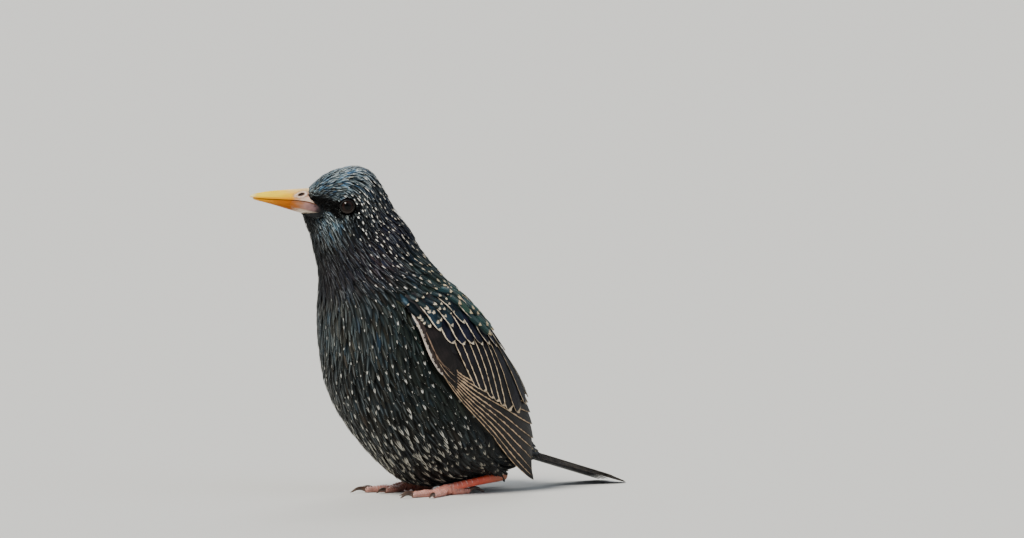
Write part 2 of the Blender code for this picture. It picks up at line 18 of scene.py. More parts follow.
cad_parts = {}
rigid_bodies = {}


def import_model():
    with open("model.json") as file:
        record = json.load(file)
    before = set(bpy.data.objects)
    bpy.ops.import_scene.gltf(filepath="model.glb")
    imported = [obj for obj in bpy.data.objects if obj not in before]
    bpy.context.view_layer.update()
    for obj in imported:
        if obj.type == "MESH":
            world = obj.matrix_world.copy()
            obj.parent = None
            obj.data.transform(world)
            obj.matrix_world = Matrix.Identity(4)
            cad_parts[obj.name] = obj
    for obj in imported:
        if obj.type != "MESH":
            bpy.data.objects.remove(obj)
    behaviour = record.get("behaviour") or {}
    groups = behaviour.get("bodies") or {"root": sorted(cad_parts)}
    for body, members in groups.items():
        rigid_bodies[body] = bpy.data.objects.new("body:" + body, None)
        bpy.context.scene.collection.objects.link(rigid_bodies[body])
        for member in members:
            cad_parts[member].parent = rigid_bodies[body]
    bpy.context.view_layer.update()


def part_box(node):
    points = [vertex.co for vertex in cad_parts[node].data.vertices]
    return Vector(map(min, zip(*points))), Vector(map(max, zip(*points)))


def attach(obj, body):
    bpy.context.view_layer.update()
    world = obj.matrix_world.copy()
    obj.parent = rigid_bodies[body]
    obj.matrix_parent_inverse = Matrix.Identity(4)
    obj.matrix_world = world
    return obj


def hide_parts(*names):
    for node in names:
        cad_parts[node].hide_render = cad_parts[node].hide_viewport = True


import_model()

# %% [markdown]
# ## Camera
# The picture was taken from the bird's left front, a little above its feet, with a long lens. A
# long lens far away keeps the bird's proportions flat, so the camera stands three metres off and
# its focal length is worked out from the width that the picture covers at the bird.

# %% Camera
MM = 0.001
VIEW_AZIMUTH = math.radians(-37)
VIEW_ELEVATION = math.radians(3)
VIEW_TARGET = Vector((0.01957, -0.0161, 0.0938))
VIEW_DISTANCE = 3.0
PICTURE_WIDTH = 1024 * 0.42 * MM
SENSOR_WIDTH = 36.0


def away(azimuth, elevation):
    """The direction from the bird to a viewer or a lamp."""
    flat = math.cos(elevation)
    return Vector((math.sin(azimuth) * flat, -math.cos(azimuth) * flat, math.sin(elevation)))


camera_data = bpy.data.cameras.new("camera")
camera_data.sensor_width = SENSOR_WIDTH
camera_data.lens = SENSOR_WIDTH * VIEW_DISTANCE / PICTURE_WIDTH
camera_data.clip_end = 200.0
camera = bpy.data.objects.new("camera", camera_data)
bpy.context.scene.collection.objects.link(camera)
toward = away(VIEW_AZIMUTH, VIEW_ELEVATION)
camera.location = VIEW_TARGET + toward * VIEW_DISTANCE
camera.rotation_euler = toward.to_track_quat("Z", "Y").to_euler()
bpy.context.scene.camera = camera
print("focal length:", round(camera_data.lens, 1), "mm")

# %% [markdown]
# ## Colours and nodes
# Colours are written as sRGB hex values, as a painter's program shows them, and turned to the
# linear values that light adds up in. One small function adds a node, so that a material reads as
# a list of steps.


# %% Helpers for materials
def colour(hex_value):
    """A linear colour from an sRGB hex value."""
    channels = [int(hex_value[i : i + 2], 16) / 255 for i in (1, 3, 5)]
    return [c / 12.92 if c <= 0.04045 else ((c + 0.055) / 1.055) ** 2.4 for c in channels]


def paint(hex_value):
    """The same colour with an alpha of one, as sockets and ramps want it."""
    return (*colour(hex_value), 1.0)


def node(tree, kind, settings=None, inputs=None):
    """Adds a node, sets its properties, and fills each input with a value or links it."""
    made = tree.nodes.new(kind)
    for name, value in (settings or {}).items():
        setattr(made, name, value)
    for name, value in (inputs or {}).items():
        if isinstance(value, bpy.types.NodeSocket):
            tree.links.new(value, made.inputs[name])
        else:
            made.inputs[name].default_value = value
    return made


def new_material(name, **values):
    """A material with its node tree and its shader, whose plain sockets are set from values."""
    made = bpy.data.materials.new(name)
    made.use_nodes = True
    shader = made.node_tree.nodes["Principled BSDF"]
    for socket, value in values.items():
        shader.inputs[socket.replace("_", " ")].default_value = value
    return made, made.node_tree, shader


def ramp(tree, value, stops, interpolation="LINEAR"):
    """A colour ramp's node with its stops: places from 0 to 1 with hex colours."""
    made = node(tree, "ShaderNodeValToRGB", {}, {"Fac": value})
    made.color_ramp.interpolation = interpolation
    while len(made.color_ramp.elements) < len(stops):
        made.color_ramp.elements.new(0.5)
    for element, (place, hex_value) in zip(made.color_ramp.elements, stops):
        element.position = place
        element.color = paint(hex_value)
    return made.outputs["Color"]


# %% [markdown]
# ## Floor and light
# The bird is black and glossy, so it shows mostly what it mirrors. A pale floor and a dim pale sky
# give the grey sheen. The lamps are suns with wide discs, because a sun lights the whole floor
# evenly and a wide disc makes soft shadows: the key from the upper left picks out the brow, the
# back and the breast, and two weaker ones keep the sides readable.

# %% Floor, sky and lamps
FLOOR_SIZE = 80.0
floor_bm = bmesh.new()
bmesh.ops.create_grid(floor_bm, x_segments=4, y_segments=4, size=FLOOR_SIZE / 2)
floor_mesh = bpy.data.meshes.new("floor")
floor_bm.to_mesh(floor_mesh)
floor_bm.free()
floor = bpy.data.objects.new("floor", floor_mesh)
bpy.context.scene.collection.objects.link(floor)
floor_paint, _, _ = new_material("pale_floor", Base_Color=paint("#D6D7D4"), Roughness=0.9)
floor_mesh.materials.append(floor_paint)

world = bpy.data.worlds.new("sky")
world.use_nodes = True
world.node_tree.nodes["Background"].inputs["Color"].default_value = paint("#DDE6EE")
world.node_tree.nodes["Background"].inputs["Strength"].default_value = 0.36
bpy.context.scene.world = world

# Name, azimuth, elevation, width of the disc (all in degrees), strength, colour
LAMPS = [
    ("key", -72, 50, 20, 4.5, "#FFF8EE"),
    ("fill", 20, 35, 60, 0.5, "#E8F0FF"),
    ("back", 140, 42, 30, 0.9, "#FFFFFF"),
]
for name, azimuth, elevation, width, strength, hex_value in LAMPS:
    lamp_data = bpy.data.lights.new(name, "SUN")
    lamp_data.angle = math.radians(width)
    lamp_data.energy = strength
    lamp_data.color = colour(hex_value)
    lamp = bpy.data.objects.new(name, lamp_data)
    bpy.context.scene.collection.objects.link(lamp)
    direction = away(math.radians(azimuth), math.radians(elevation))
    lamp.location = Vector((0, 0, 0.08)) + direction
    lamp.rotation_euler = direction.to_track_quat("Z", "Y").to_euler()
print("lamps:", len(LAMPS))

# %% [markdown]
# ## The body's surface
# The frame's body is a loft: a row of rings from the root of the bill to the vent. The same rings
# are repeated here, because feathers need more than a surface. They need to know which way it
# runs. A place on the body is a station k, from bill to vent, and an angle round it, from belly
# over the left side to the back, and feathers lie along k.

# %% The drawing's sizes, in millimetres
BOX_MIDDLE = np.array([10.915, 0.0, 0.0])
HEAD_TURN = math.radians(30)
TURN_AXIS_X = -36.0
TURN_STARTS_Z = 78.0
TURN_ENDS_Z = 112.0
HEAD_CENTRE = (-39.0, 124.0)
# Throat or belly as x and z, crown or back as x and z, half width
BODY_STATIONS = [
    (-61.6, 119.3, -58.8, 128.9, 4.2),
    (-60.2, 115.6, -55.2, 132.3, 6.8),
    (-59.2, 112.5, -50.5, 135.6, 8.8),
    (-58.0, 110.0, -44.0, 137.8, 11.0),
    (-57.3, 107.3, -37.0, 138.4, 12.7),
    (-56.6, 104.5, -30.9, 135.3, 13.5),
    (-56.0, 101.5, -26.0, 128.0, 14.3),
    (-55.3, 98.0, -21.4, 119.5, 15.6),
    (-54.6, 93.5, -15.8, 112.5, 17.6),
    (-54.0, 88.0, -11.0, 104.0, 20.6),
    (-53.5, 81.0, -3.5, 95.5, 24.6),
    (-53.2, 72.0, 8.0, 85.0, 28.2),
    (-52.2, 60.0, 17.8, 74.0, 29.6),
    (-49.5, 47.0, 26.0, 63.5, 30.4),
    (-43.5, 35.0, 32.0, 52.5, 30.4),
    (-34.5, 23.5, 37.5, 42.0, 29.0),
    (-22.0, 11.6, 42.0, 34.0, 26.0),
    (-11.5, 4.4, 45.5, 27.5, 21.5),
    (4.0, 2.6, 49.0, 22.5, 16.2),
    (21.0, 3.6, 52.0, 19.0, 12.0),
    (35.0, 7.4, 54.0, 16.5, 8.4),
]
LAST_STATION = len(BODY_STATIONS) - 1


# %% Curves and turns for whole arrays of places
def spline(knots, u):
    """Points on the smooth curve through evenly spaced knots, at places from 0 to 1."""
    knots = np.asarray(knots, float)
    last = len(knots) - 1
    place = np.clip(u, 0.0, 1.0) * last
    i = np.minimum(place.astype(int), last - 1)
    f = (place - i)[..., None] if knots.ndim > 1 else place - i
    a, b, c, d = (knots[np.clip(i + j, 0, last)] for j in (-1, 0, 1, 2))
    bend = (2 * a - 5 * b + 4 * c - d) * f + (3 * b - a - 3 * c + d) * f * f
    return 0.5 * (2 * b + (c - a) * f + bend * f)


def smooth(x):
    """A soft step from 0 to 1."""
    x = np.clip(x, 0.0, 1.0)
    return x * x * (3 - 2 * x)


def mix(a, b, share):
    return a + (b - a) * share


def stacked(*columns):
    return np.stack(np.broadcast_arrays(*columns), axis=-1)


def length_of(vectors):
    return np.linalg.norm(vectors, axis=-1, keepdims=True)


def turned(points):
    """Points of the straight bird, carried round by the turn of the head and neck."""
    x, y, z = points[..., 0], points[..., 1], points[..., 2]
    angle = -HEAD_TURN * smooth((z - TURN_STARTS_Z) / (TURN_ENDS_Z - TURN_STARTS_Z))
    dx = x - TURN_AXIS_X
    return stacked(
        TURN_AXIS_X + dx * np.cos(angle) - y * np.sin(angle),
        dx * np.sin(angle) + y * np.cos(angle),
        z,
    )


def head_point(f, side, g):
    """Points given along the bill, to the bird's left and upwards from the head's centre."""
    return turned(stacked(HEAD_CENTRE[0] - f, -np.asarray(side, float), HEAD_CENTRE[1] + g))


def straight_body(k, angle):
    """Points of the body's outline before its head is turned."""
    vx, vz, dx, dz, w = np.moveaxis(spline(BODY_STATIONS, k / LAST_STATION), -1, 0)
    along = 0.5 - 0.5 * np.cos(angle)
    return stacked(mix(vx, dx, along), -w * np.sin(angle), mix(vz, dz, along))


# %% [markdown]
# ### The skin under the coat
# The frame's outline is where the feathers' tips lie, so the skin lies deeper, by the depth of the
# coat. On the head it is shaped further: a socket for each eye, a brow over it, a hollow before it,
# and sides drawn in where the bill's root is bare.

# %% The skin as a grid of places
SKIN_ROWS = 480
SKIN_COLUMNS = 288
COAT_DEPTH_AT = [0, 1, 3, 6.5, 9.5, 12, 18, 20]
COAT_DEPTH = [0.35, 0.6, 0.8, 1.0, 1.3, 1.6, 1.6, 1.3]
EYE_AT = (4.0, -2.1)
SOCKET_RADIUS = 2.95
# How far forward feathers grow on the sides of the bill's root: height g, place f
FEATHER_EDGE = [
    (-7.2, 16.6),
    (-6.4, 16.0),
    (-4.3, 14.3),
    (-2.9, 15.0),
    (-1.5, 16.6),
    (0.8, 19.5),
    (2.7, 20.2),
    (4.0, 21.2),
    (5.6, 21.2),
]
BARE_TOP = 5.7
# The lower edge of the bare root, under the lower half of the bill: place f, height g
CHIN_EDGE = [(14.5, -7.3), (18.5, -6.8), (22.7, -5.4), (27.7, -3.6)]


def feather_edge(g):
    """The place along the bill's root where the feathers end, at height g."""
    return np.interp(g, [row[0] for row in FEATHER_EDGE], [row[1] for row in FEATHER_EDGE])


def chin_edge(f):
    """The height under which feathers cover the chin, at place f."""
    return np.interp(f, [row[0] for row in CHIN_EDGE], [row[1] for row in CHIN_EDGE])


def is_bare(f, g):
    return (f > feather_edge(g)) & (g < BARE_TOP) & (g > chin_edge(f) + 0.9)


def sculpt_head(points):
    """Moves the head's points sideways for sockets, brows, lores and the bill's root."""
    f = HEAD_CENTRE[0] - points[..., 0]
    g = points[..., 2] - HEAD_CENTRE[1]
    off_eye = np.hypot(f - EYE_AT[0], g - EYE_AT[1])
    shift = -2.6 * smooth((SOCKET_RADIUS - off_eye) / 0.6)
    shift += 0.45 * np.exp(-(((off_eye - 3.5) / 0.8) ** 2))
    shift += 0.45 * np.exp(-(((f - 6.0) / 4.5) ** 2) - ((g - 2.2) / 1.3) ** 2)
    shift -= 0.55 * np.exp(-(((f - 11.5) / 3.0) ** 2) - ((g + 1.0) / 2.2) ** 2)
    in_height = smooth((BARE_TOP - g) / 0.8) * smooth((g - chin_edge(f)) / 0.8)
    shift -= 2.6 * smooth((f - feather_edge(g) + 0.6) / 1.2) * in_height
    reach = np.abs(points[..., 1])
    on_side = smooth(reach / 4.0)
    moved = points.copy()
    moved[..., 1] = np.sign(points[..., 1]) * np.maximum(reach + shift * on_side, 0.3 * reach)
    return moved


station_grid = np.linspace(0, LAST_STATION, SKIN_ROWS + 1)[:, None]
angle_grid = np.linspace(0, 2 * math.pi, SKIN_COLUMNS + 1)[None, :]
outline = turned(sculpt_head(straight_body(station_grid + 0 * angle_grid, angle_grid + 0 * station_grid)))


def grid_normals(points):
    """Outward normals of a grid that closes on itself across its columns."""
    along = np.gradient(points, axis=0)
    wide = np.concatenate([points[:, -2:-1], points, points[:, 1:2]], axis=1)
    around = 0.5 * (wide[:, 2:] - wide[:, :-2])
    normal = np.cross(along, around)
    return normal / length_of(normal)


coat_depth = np.interp(station_grid, COAT_DEPTH_AT, COAT_DEPTH)[..., None]
outline_normals = grid_normals(outline)
middle_row = outline[SKIN_ROWS // 2]
if np.sum(outline_normals[SKIN_ROWS // 2] * (middle_row - middle_row.mean(axis=0))) < 0:
    outline_normals = -outline_normals
skin_grid = outline - outline_normals * coat_depth
print("skin grid:", skin_grid.shape, "height", round(float(skin_grid[..., 2].max()), 1), "mm")


# %% Reading the grid between its points
def read_grid(grid, row, column):
    """Values of a grid between its points, with its last rows carried on past its ends."""
    held = np.clip(row, 0, grid.shape[0] - 1)
    i = np.minimum(held.astype(int), grid.shape[0] - 2)
    column = np.mod(column, SKIN_COLUMNS)
    j = np.minimum(column.astype(int), SKIN_COLUMNS - 1)
    a, b = (row - i)[..., None], (column - j)[..., None]
    near = grid[i, j] * (1 - b) + grid[i, j + 1] * b
    far = grid[i + 1, j] * (1 - b) + grid[i + 1, j + 1] * b
    return near * (1 - a) + far * a


def on_body(k, angle, lift):
    """Points over the skin at stations k and angles round it, raised along its normals."""
    k, angle, lift = np.broadcast_arrays(k, angle, lift)
    row = k / LAST_STATION * SKIN_ROWS
    column = angle / (2 * math.pi) * SKIN_COLUMNS
    normal = read_grid(outline_normals, np.clip(row, 0, SKIN_ROWS), column)
    normal = normal / length_of(normal)
    return read_grid(skin_grid, row, column) + normal * lift[..., None]


# %% [markdown]
# ## Meshes from bent grids
# A tube, a bill or a thigh is a flat grid of faces bent round until two of its sides meet. The grid
# comes from one of Blender's own operators, its corners are moved by a function, the seam is
# merged and the ends are filled, so each piece is one closed mesh.


# %% Bend a grid into a closed piece
def to_frame(points):
    """Millimetres of the drawing to metres of the frame."""
    return (np.asarray(points) - BOX_MIDDLE) * MM


def bent_grid(surface, rows, columns):
    """A closed tube: surface(u, v) gives points for places from 0 to 1 along and round it."""
    bm = bmesh.new()
    bmesh.ops.create_grid(bm, x_segments=rows, y_segments=columns, size=0.5)
    places = np.array([vert.co[:2] for vert in bm.verts]) + 0.5
    for vert, point in zip(bm.verts, to_frame(surface(places[:, 0], places[:, 1]))):
        vert.co = point
    bmesh.ops.remove_doubles(bm, verts=bm.verts, dist=1e-6)
    rims = [edge for edge in bm.edges if edge.is_boundary]
    if rims:
        bmesh.ops.holes_fill(bm, edges=rims, sides=0)
    bmesh.ops.recalc_face_normals(bm, faces=bm.faces)
    return bm


def object_from(name, bm, finish):
    """An object from a bmesh, smooth, riding on the bird, with its material."""
    mesh = bpy.data.meshes.new(name)
    bm.to_mesh(mesh)
    bm.free()
    mesh.shade_smooth()
    mesh.materials.append(finish)
    obj = bpy.data.objects.new(name, mesh)
    bpy.context.scene.collection.objects.link(obj)
    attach(obj, "root")
    return obj


def point_values(mesh, name, values, kind="FLOAT_VECTOR"):
    """Stores one vector or colour for each point of a mesh."""
    layer = mesh.attributes.new(name, kind, "POINT")
    key = "color" if kind == "FLOAT_COLOR" else "vector"
    layer.data.foreach_set(key, np.asarray(values, np.float32).ravel())


def tube_surface(path, radii, squeeze=1.0):
    """A surface(u, v, lift) round a smooth path of knots, with a radius at each knot."""
    path, radii = np.asarray(path, float), np.asarray(radii, float)

    def surface(u, v, lift=0.0):
        centre = spline(path, u)
        ahead = spline(path, np.clip(u + 0.01, 0, 1)) - spline(path, np.clip(u - 0.01, 0, 1))
        across = np.cross(ahead, (0.0, 0.0, 1.0))
        across = across / length_of(across)
        upward = np.cross(across, ahead)
        upward = upward / length_of(upward)
        turn = (2 * math.pi * v)[..., None]
        radius = (spline(radii, u) + lift)[..., None]
        return centre + (across * np.cos(turn) * squeeze + upward * np.sin(turn)) * radius

    return surface


# %% [markdown]
# ## Skin
# The flesh of the head, neck, body and thighs is one piece, so no seam shows. The body's grid and
# the two thighs are joined, and a voxel remesh melts them into one closed surface.

# %% The thighs' shape
HEEL = np.array([26.0, -16.0, 6.9])
TOE_JOINT = np.array([-2.0, -14.0, 3.0])
KNEE = np.array([3.0, -17.0, 20.0])
THIGH_CLEAR_OF_HEEL = 1.5
THIGH_RADII = (2.0, 3.4, 5.2, 6.0, 4.6)
THIGH_COAT = 0.7
heel_to_knee = KNEE - HEEL
thigh_start = HEEL + heel_to_knee / np.linalg.norm(heel_to_knee) * THIGH_CLEAR_OF_HEEL
thigh_knots = [mix(thigh_start, KNEE, share) for share in (0.0, 0.25, 0.55, 0.85, 1.0)]
thigh_skin = tube_surface(thigh_knots, [r - THIGH_COAT for r in THIGH_RADII])


def mirrored(surface):
    """The same surface on the bird's right side."""

    def other_side(p, q, lift=0.0):
        return surface(p, q, lift) * (1, -1, 1)

    return other_side


# %% The skin's material: dark, thin skin with the coat's own markings
FACE_MIDDLE = tuple(to_frame(head_point(14.0, 0.0, -1.0)))


def skin_material():
    """Feathered skin: matt, blackish, with the pale spots of the coat over it."""
    made, tree, shader = new_material("feathered_skin", Roughness=0.7, Specular_IOR_Level=0.15)
    place = node(tree, "ShaderNodeTexCoord").outputs["Object"]
    height = node(tree, "ShaderNodeSeparateXYZ", {}, {0: place}).outputs["Z"]
    share = node(tree, "ShaderNodeMapRange", {}, {"Value": height, "From Max": 0.14})
    tint = ramp(
        tree,
        share.outputs[0],
        [(0.0, "#14110E"), (0.35, "#101412"), (0.65, "#111518"), (0.9, "#0B0F12")],
    )
    # One spot for each 4 mm, as on the coat
    spots = node(tree, "ShaderNodeTexVoronoi", {}, {"Vector": place, "Scale": 250.0})
    mask = node(
        tree,
        "ShaderNodeMapRange",
        {},
        {"Value": spots.outputs["Distance"], "From Min": 0.26, "From Max": 0.16},
    )
    # No spots on the face, nor at the back, which the wings cover
    bill_root = node(
        tree, "ShaderNodeVectorMath", {"operation": "DISTANCE"}, {0: place, 1: FACE_MIDDLE}
    )
    behind = node(
        tree,
        "ShaderNodeMapRange",
        {},
        {"Value": bill_root.outputs["Value"], "From Min": 0.018, "From Max": 0.026},
    )
    before_wings = node(
        tree,
        "ShaderNodeMapRange",
        {},
        {
            "Value": node(tree, "ShaderNodeSeparateXYZ", {}, {0: place}).outputs["X"],
            "From Min": 0.015,
            "From Max": 0.005,
        },
    )
    shown = node(
        tree, "ShaderNodeMath", {"operation": "MULTIPLY"}, {0: mask.outputs[0], 1: behind.outputs[0]}
    )
    shown = node(
        tree, "ShaderNodeMath", {"operation": "MULTIPLY"}, {0: shown.outputs[0], 1: before_wings.outputs[0]}
    )
    both = node(
        tree,
        "ShaderNodeMix",
        {"data_type": "RGBA"},
        {"Factor": shown.outputs[0], 6: tint, 7: paint("#66665F")},
    )
    grain = node(tree, "ShaderNodeTexNoise", {}, {"Vector": place, "Scale": 1400.0})
    bump = node(
        tree,
        "ShaderNodeBump",
        {},
        {"Height": grain.outputs[0], "Strength": 0.3, "Distance": 0.0002},
    )
    tree.links.new(both.outputs[2], shader.inputs["Base Color"])
    tree.links.new(bump.outputs[0], shader.inputs["Normal"])
    return made


# %% Make the skin
SKIN_VOXEL = 0.75 * MM
# The melted surface is a little rougher than the grid, so it starts a little deeper
SKIN_SINKS = 0.22


def body_shell(u, v):
    return on_body(u * LAST_STATION, v * 2 * math.pi, -SKIN_SINKS)


def joined(pieces):
    """One bmesh from several."""
    whole = bmesh.new()
    for bm in pieces:
        scratch = bpy.data.meshes.new("scratch")
        bm.to_mesh(scratch)
        bm.free()
        whole.from_mesh(scratch)
        bpy.data.meshes.remove(scratch)
    return whole


def remeshed(bm, voxel, rounds):
    """Several closed shapes melted into one, with its faces evened out."""
    mesh = bpy.data.meshes.new("melt")
    bm.to_mesh(mesh)
    bm.free()
    obj = bpy.data.objects.new("melt", mesh)
    bpy.context.scene.collection.objects.link(obj)
    melt = obj.modifiers.new("melt", "REMESH")
    melt.mode = "VOXEL"
    melt.voxel_size = voxel
    graph = bpy.context.evaluated_depsgraph_get()
    result = bmesh.new()
    result.from_mesh(obj.evaluated_get(graph).data)
    bpy.data.objects.remove(obj)
    for _ in range(rounds):
        bmesh.ops.smooth_vert(
            result, verts=result.verts, factor=0.5, use_axis_x=True, use_axis_y=True, use_axis_z=True
        )
    return result


shells = [bent_grid(body_shell, 150, 96)]
shells += [bent_grid(side, 16, 20) for side in (thigh_skin, mirrored(thigh_skin))]
skin = object_from("skin", remeshed(joined(shells), SKIN_VOXEL, 1), skin_material())
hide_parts("head", "neck", "torso", "thigh_left", "thigh_right")
print("skin faces:", len(skin.data.polygons))

# %% [markdown]
# ## One feather, thousands of times
# A contour feather is a thin lens: a flat grid with a copy raised over it, whose rims are merged.
# Blender's operators make that lens once. Each feather is then the same lens, laid in the body's
# own lines: it runs along the lie of the coat, bends with the surface under it, has its root sunk
# in the skin and its tip at the height of the coat. All the feathers of one region become one mesh.


# %% The lens that every feather starts from
def vane_template(along, across):
    """Its points as a along, b across and c up, and the corners of its faces."""
    bm = bmesh.new()
    bmesh.ops.create_grid(bm, x_segments=along, y_segments=across, size=1.0)
    raised = bmesh.ops.extrude_face_region(bm, geom=bm.faces[:], use_keep_orig=True)["geom"]
    bmesh.ops.translate(
        bm, vec=(0, 0, 2), verts=[v for v in raised if isinstance(v, bmesh.types.BMVert)]
    )
    for vert in bm.verts:
        if max(abs(vert.co.x), abs(vert.co.y)) > 0.999:
            vert.co.z = 1.0
    bmesh.ops.remove_doubles(bm, verts=bm.verts, dist=0.001)
    bmesh.ops.recalc_face_normals(bm, faces=bm.faces)
    bm.verts.index_update()
    points = np.array([vert.co[:] for vert in bm.verts])
    template = {
        "a": 0.5 + 0.5 * points[:, 0],
        "b": points[:, 1],
        "c": points[:, 2] - 1.0,
        "corners": np.array([v.index for face in bm.faces for v in face.verts]),
        "sizes": np.array([len(face.verts) for face in bm.faces]),
    }
    bm.free()
    return template


fine_vane = vane_template(8, 4)
small_vane = vane_template(5, 2)
print("faces a feather:", len(fine_vane["sizes"]), "and", len(small_vane["sizes"]))


# %% Many placed copies as one mesh
def copies_mesh(name, points, template, finish, values, bake_places):
    """One object from points of shape (feathers, template points, 3) in millimetres.

    values are named arrays of the same shape, kept on the mesh's points for its material.
    bake_places are the feathers' places on the skin's unwrap, each a small patch of its own.
    """
    count, each = points.shape[:2]
    corners, sizes = template["corners"], template["sizes"]
    if mesh_volume(points[0], corners, sizes) < 0:
        starts = np.cumsum(sizes) - sizes
        corners = np.concatenate([corners[s : s + n][::-1] for s, n in zip(starts, sizes)])
    every = (corners[None, :] + each * np.arange(count)[:, None]).ravel()
    all_sizes = np.tile(sizes, count)
    mesh = bpy.data.meshes.new(name)
    mesh.vertices.add(count * each)
    mesh.vertices.foreach_set("co", to_frame(points).astype(np.float32).ravel())
    mesh.loops.add(len(every))
    mesh.loops.foreach_set("vertex_index", every.astype(np.int32))
    mesh.polygons.add(len(all_sizes))
    mesh.polygons.foreach_set("loop_start", (np.cumsum(all_sizes) - all_sizes).astype(np.int32))
    mesh.update(calc_edges=True)
    for key, value in values.items():
        point_values(mesh, key, value)
    patch = 0.003
    a, b = template["a"][None, :], template["b"][None, :]
    u = bake_places[:, :1] + patch * (0.5 * b)
    v = bake_places[:, 1:] + patch * (a - 0.5)
    places = np.stack(np.broadcast_arrays(u, v), axis=-1).reshape(-1, 2)
    layer = mesh.uv_layers.new(name="OFBake")
    layer.uv.foreach_set("vector", places[every].astype(np.float32).ravel())
    mesh.shade_smooth()
    mesh.set_sharp_from_angle(angle=math.radians(50))
    mesh.materials.append(finish)
    obj = bpy.data.objects.new(name, mesh)
    bpy.context.scene.collection.objects.link(obj)
    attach(obj, "root")
    return obj


def mesh_volume(points, corners, sizes):
    """The signed volume of one closed shape, which is negative when it is inside out."""
    total = 0.0
    start = 0
    middle = points.mean(axis=0)
    for size in sizes:
        ring = points[corners[start : start + size]] - middle
        for i in range(1, size - 1):
            total += np.dot(ring[0], np.cross(ring[i], ring[i + 1]))
        start += size
    return total / 6


# %% Lay feathers on a surface
def surface_frame(surface, p, q):
    """At each root: how the surface runs along p and q, and its unit normal."""
    step = 1e-3
    zero = np.zeros_like(p)
    along_p = (surface(p + step, q, zero) - surface(p - step, q, zero)) / (2 * step)
    along_q = (surface(p, q + step, zero) - surface(p, q - step, zero)) / (2 * step)
    normal = surface(p, q, zero + 0.5) - surface(p, q, zero)
    return along_p, along_q, normal / length_of(normal)


def feather_outline(a, pointed):
    """Half the width of a contour feather along it: slim at the root, round or pointed at the tip."""
    rise = 0.3 + 0.7 * smooth(a / 0.5)
    x = np.clip((a - 0.5) / 0.5, 0.0, 1.0)
    round_tip = np.sqrt(np.maximum(1 - x**2.4, 0.0))
    slim_tip = 1 - x**1.7
    return np.maximum(rise * mix(round_tip, slim_tip, pointed), 0.05)


def laid_feathers(surface, p, q, size, template, draw):
    """Points of feathers with roots at p and q. size holds arrays of each feather's length, width,
    turn off the surface's own lines, root and tip lift, and how pointed it is."""
    along_p, along_q, normal = surface_frame(surface, p, q)
    ahead = along_p / length_of(along_p)
    across = np.cross(normal, ahead)
    across = across / length_of(across)
    cos, sin = np.cos(size["turn"])[:, None], np.sin(size["turn"])[:, None]
    ahead, across = ahead * cos + across * sin, across * cos - ahead * sin
    pp = np.sum(along_p * along_p, axis=-1)
    pq = np.sum(along_p * along_q, axis=-1)
    qq = np.sum(along_q * along_q, axis=-1)
    det = pp * qq - pq * pq
    a, b, c = (template[key][None, :] for key in "abc")
    shape = (len(p), len(template["a"]))
    a = 1 - (1 - a) ** 1.25 + np.zeros(shape)
    on_rim = (np.abs(b) > 0.99) | (a > 0.99)
    ragged = on_rim * draw.uniform(-1, 1, shape)
    length, width = size["length"][:, None], size["width"][:, None]
    half = 0.5 * width * feather_outline(a, size["pointed"][:, None])
    run = length * (a + 0.035 * ragged * (a > 0.3))
    wide = half * b * (1 + 0.16 * ragged)
    bend = size["bend"][:, None] * length * a * a
    step = ahead[:, None, :] * run[..., None] + across[:, None, :] * (wide + bend)[..., None]
    on_p = np.sum(along_p[:, None, :] * step, axis=-1)
    on_q = np.sum(along_q[:, None, :] * step, axis=-1)
    to_p = (qq[:, None] * on_p - pq[:, None] * on_q) / det[:, None]
    to_q = (pp[:, None] * on_q - pq[:, None] * on_p) / det[:, None]
    lift = mix(size["root_lift"][:, None], size["tip_lift"][:, None], a**0.85)
    lift = lift - 0.22 * half * b * b - 0.12 * smooth((a - 0.75) / 0.25)
    lift = lift + c * size["thickness"][:, None] * 0.5
    return surface(p[:, None] + to_p, q[:, None] + to_q, lift)


# %% [markdown]
# ### Where feathers grow
# No two roots are nearer than the local spacing, which gives the even but unruled spread of real
# feather tracts. Many candidate roots are drawn, evenly by area, and each one that is kept strikes
# out its neighbours.


# %% Scatter roots on the body
def scatter(surface, low, high, spacing_at, count, draw):
    """Kept roots as p and q between two corners, with a spacing given by a function of them."""
    tries = count * 3
    p = draw.uniform(low[0], high[0], tries)
    q = draw.uniform(low[1], high[1], tries)
    along_p, along_q, _ = surface_frame(surface, p, q)
    area = length_of(np.cross(along_p, along_q))[:, 0]
    spacing = spacing_at(p, q)
    weight = area / spacing**2
    chosen = draw.uniform(0, 1, tries) < weight / np.quantile(weight, 0.97)
    p, q, spacing = p[chosen][:count], q[chosen][:count], spacing[chosen][:count]
    places = surface(p, q, np.zeros_like(p))
    tree = KDTree(len(places))
    for i, place in enumerate(places):
        tree.insert(place, i)
    tree.balance()
    free = np.ones(len(places), bool)
    kept = []
    for i, place in enumerate(places):
        if free[i]:
            kept.append(i)
            for _, j, _ in tree.find_range(place, float(spacing[i])):
                free[j] = False
    return p[kept], q[kept]
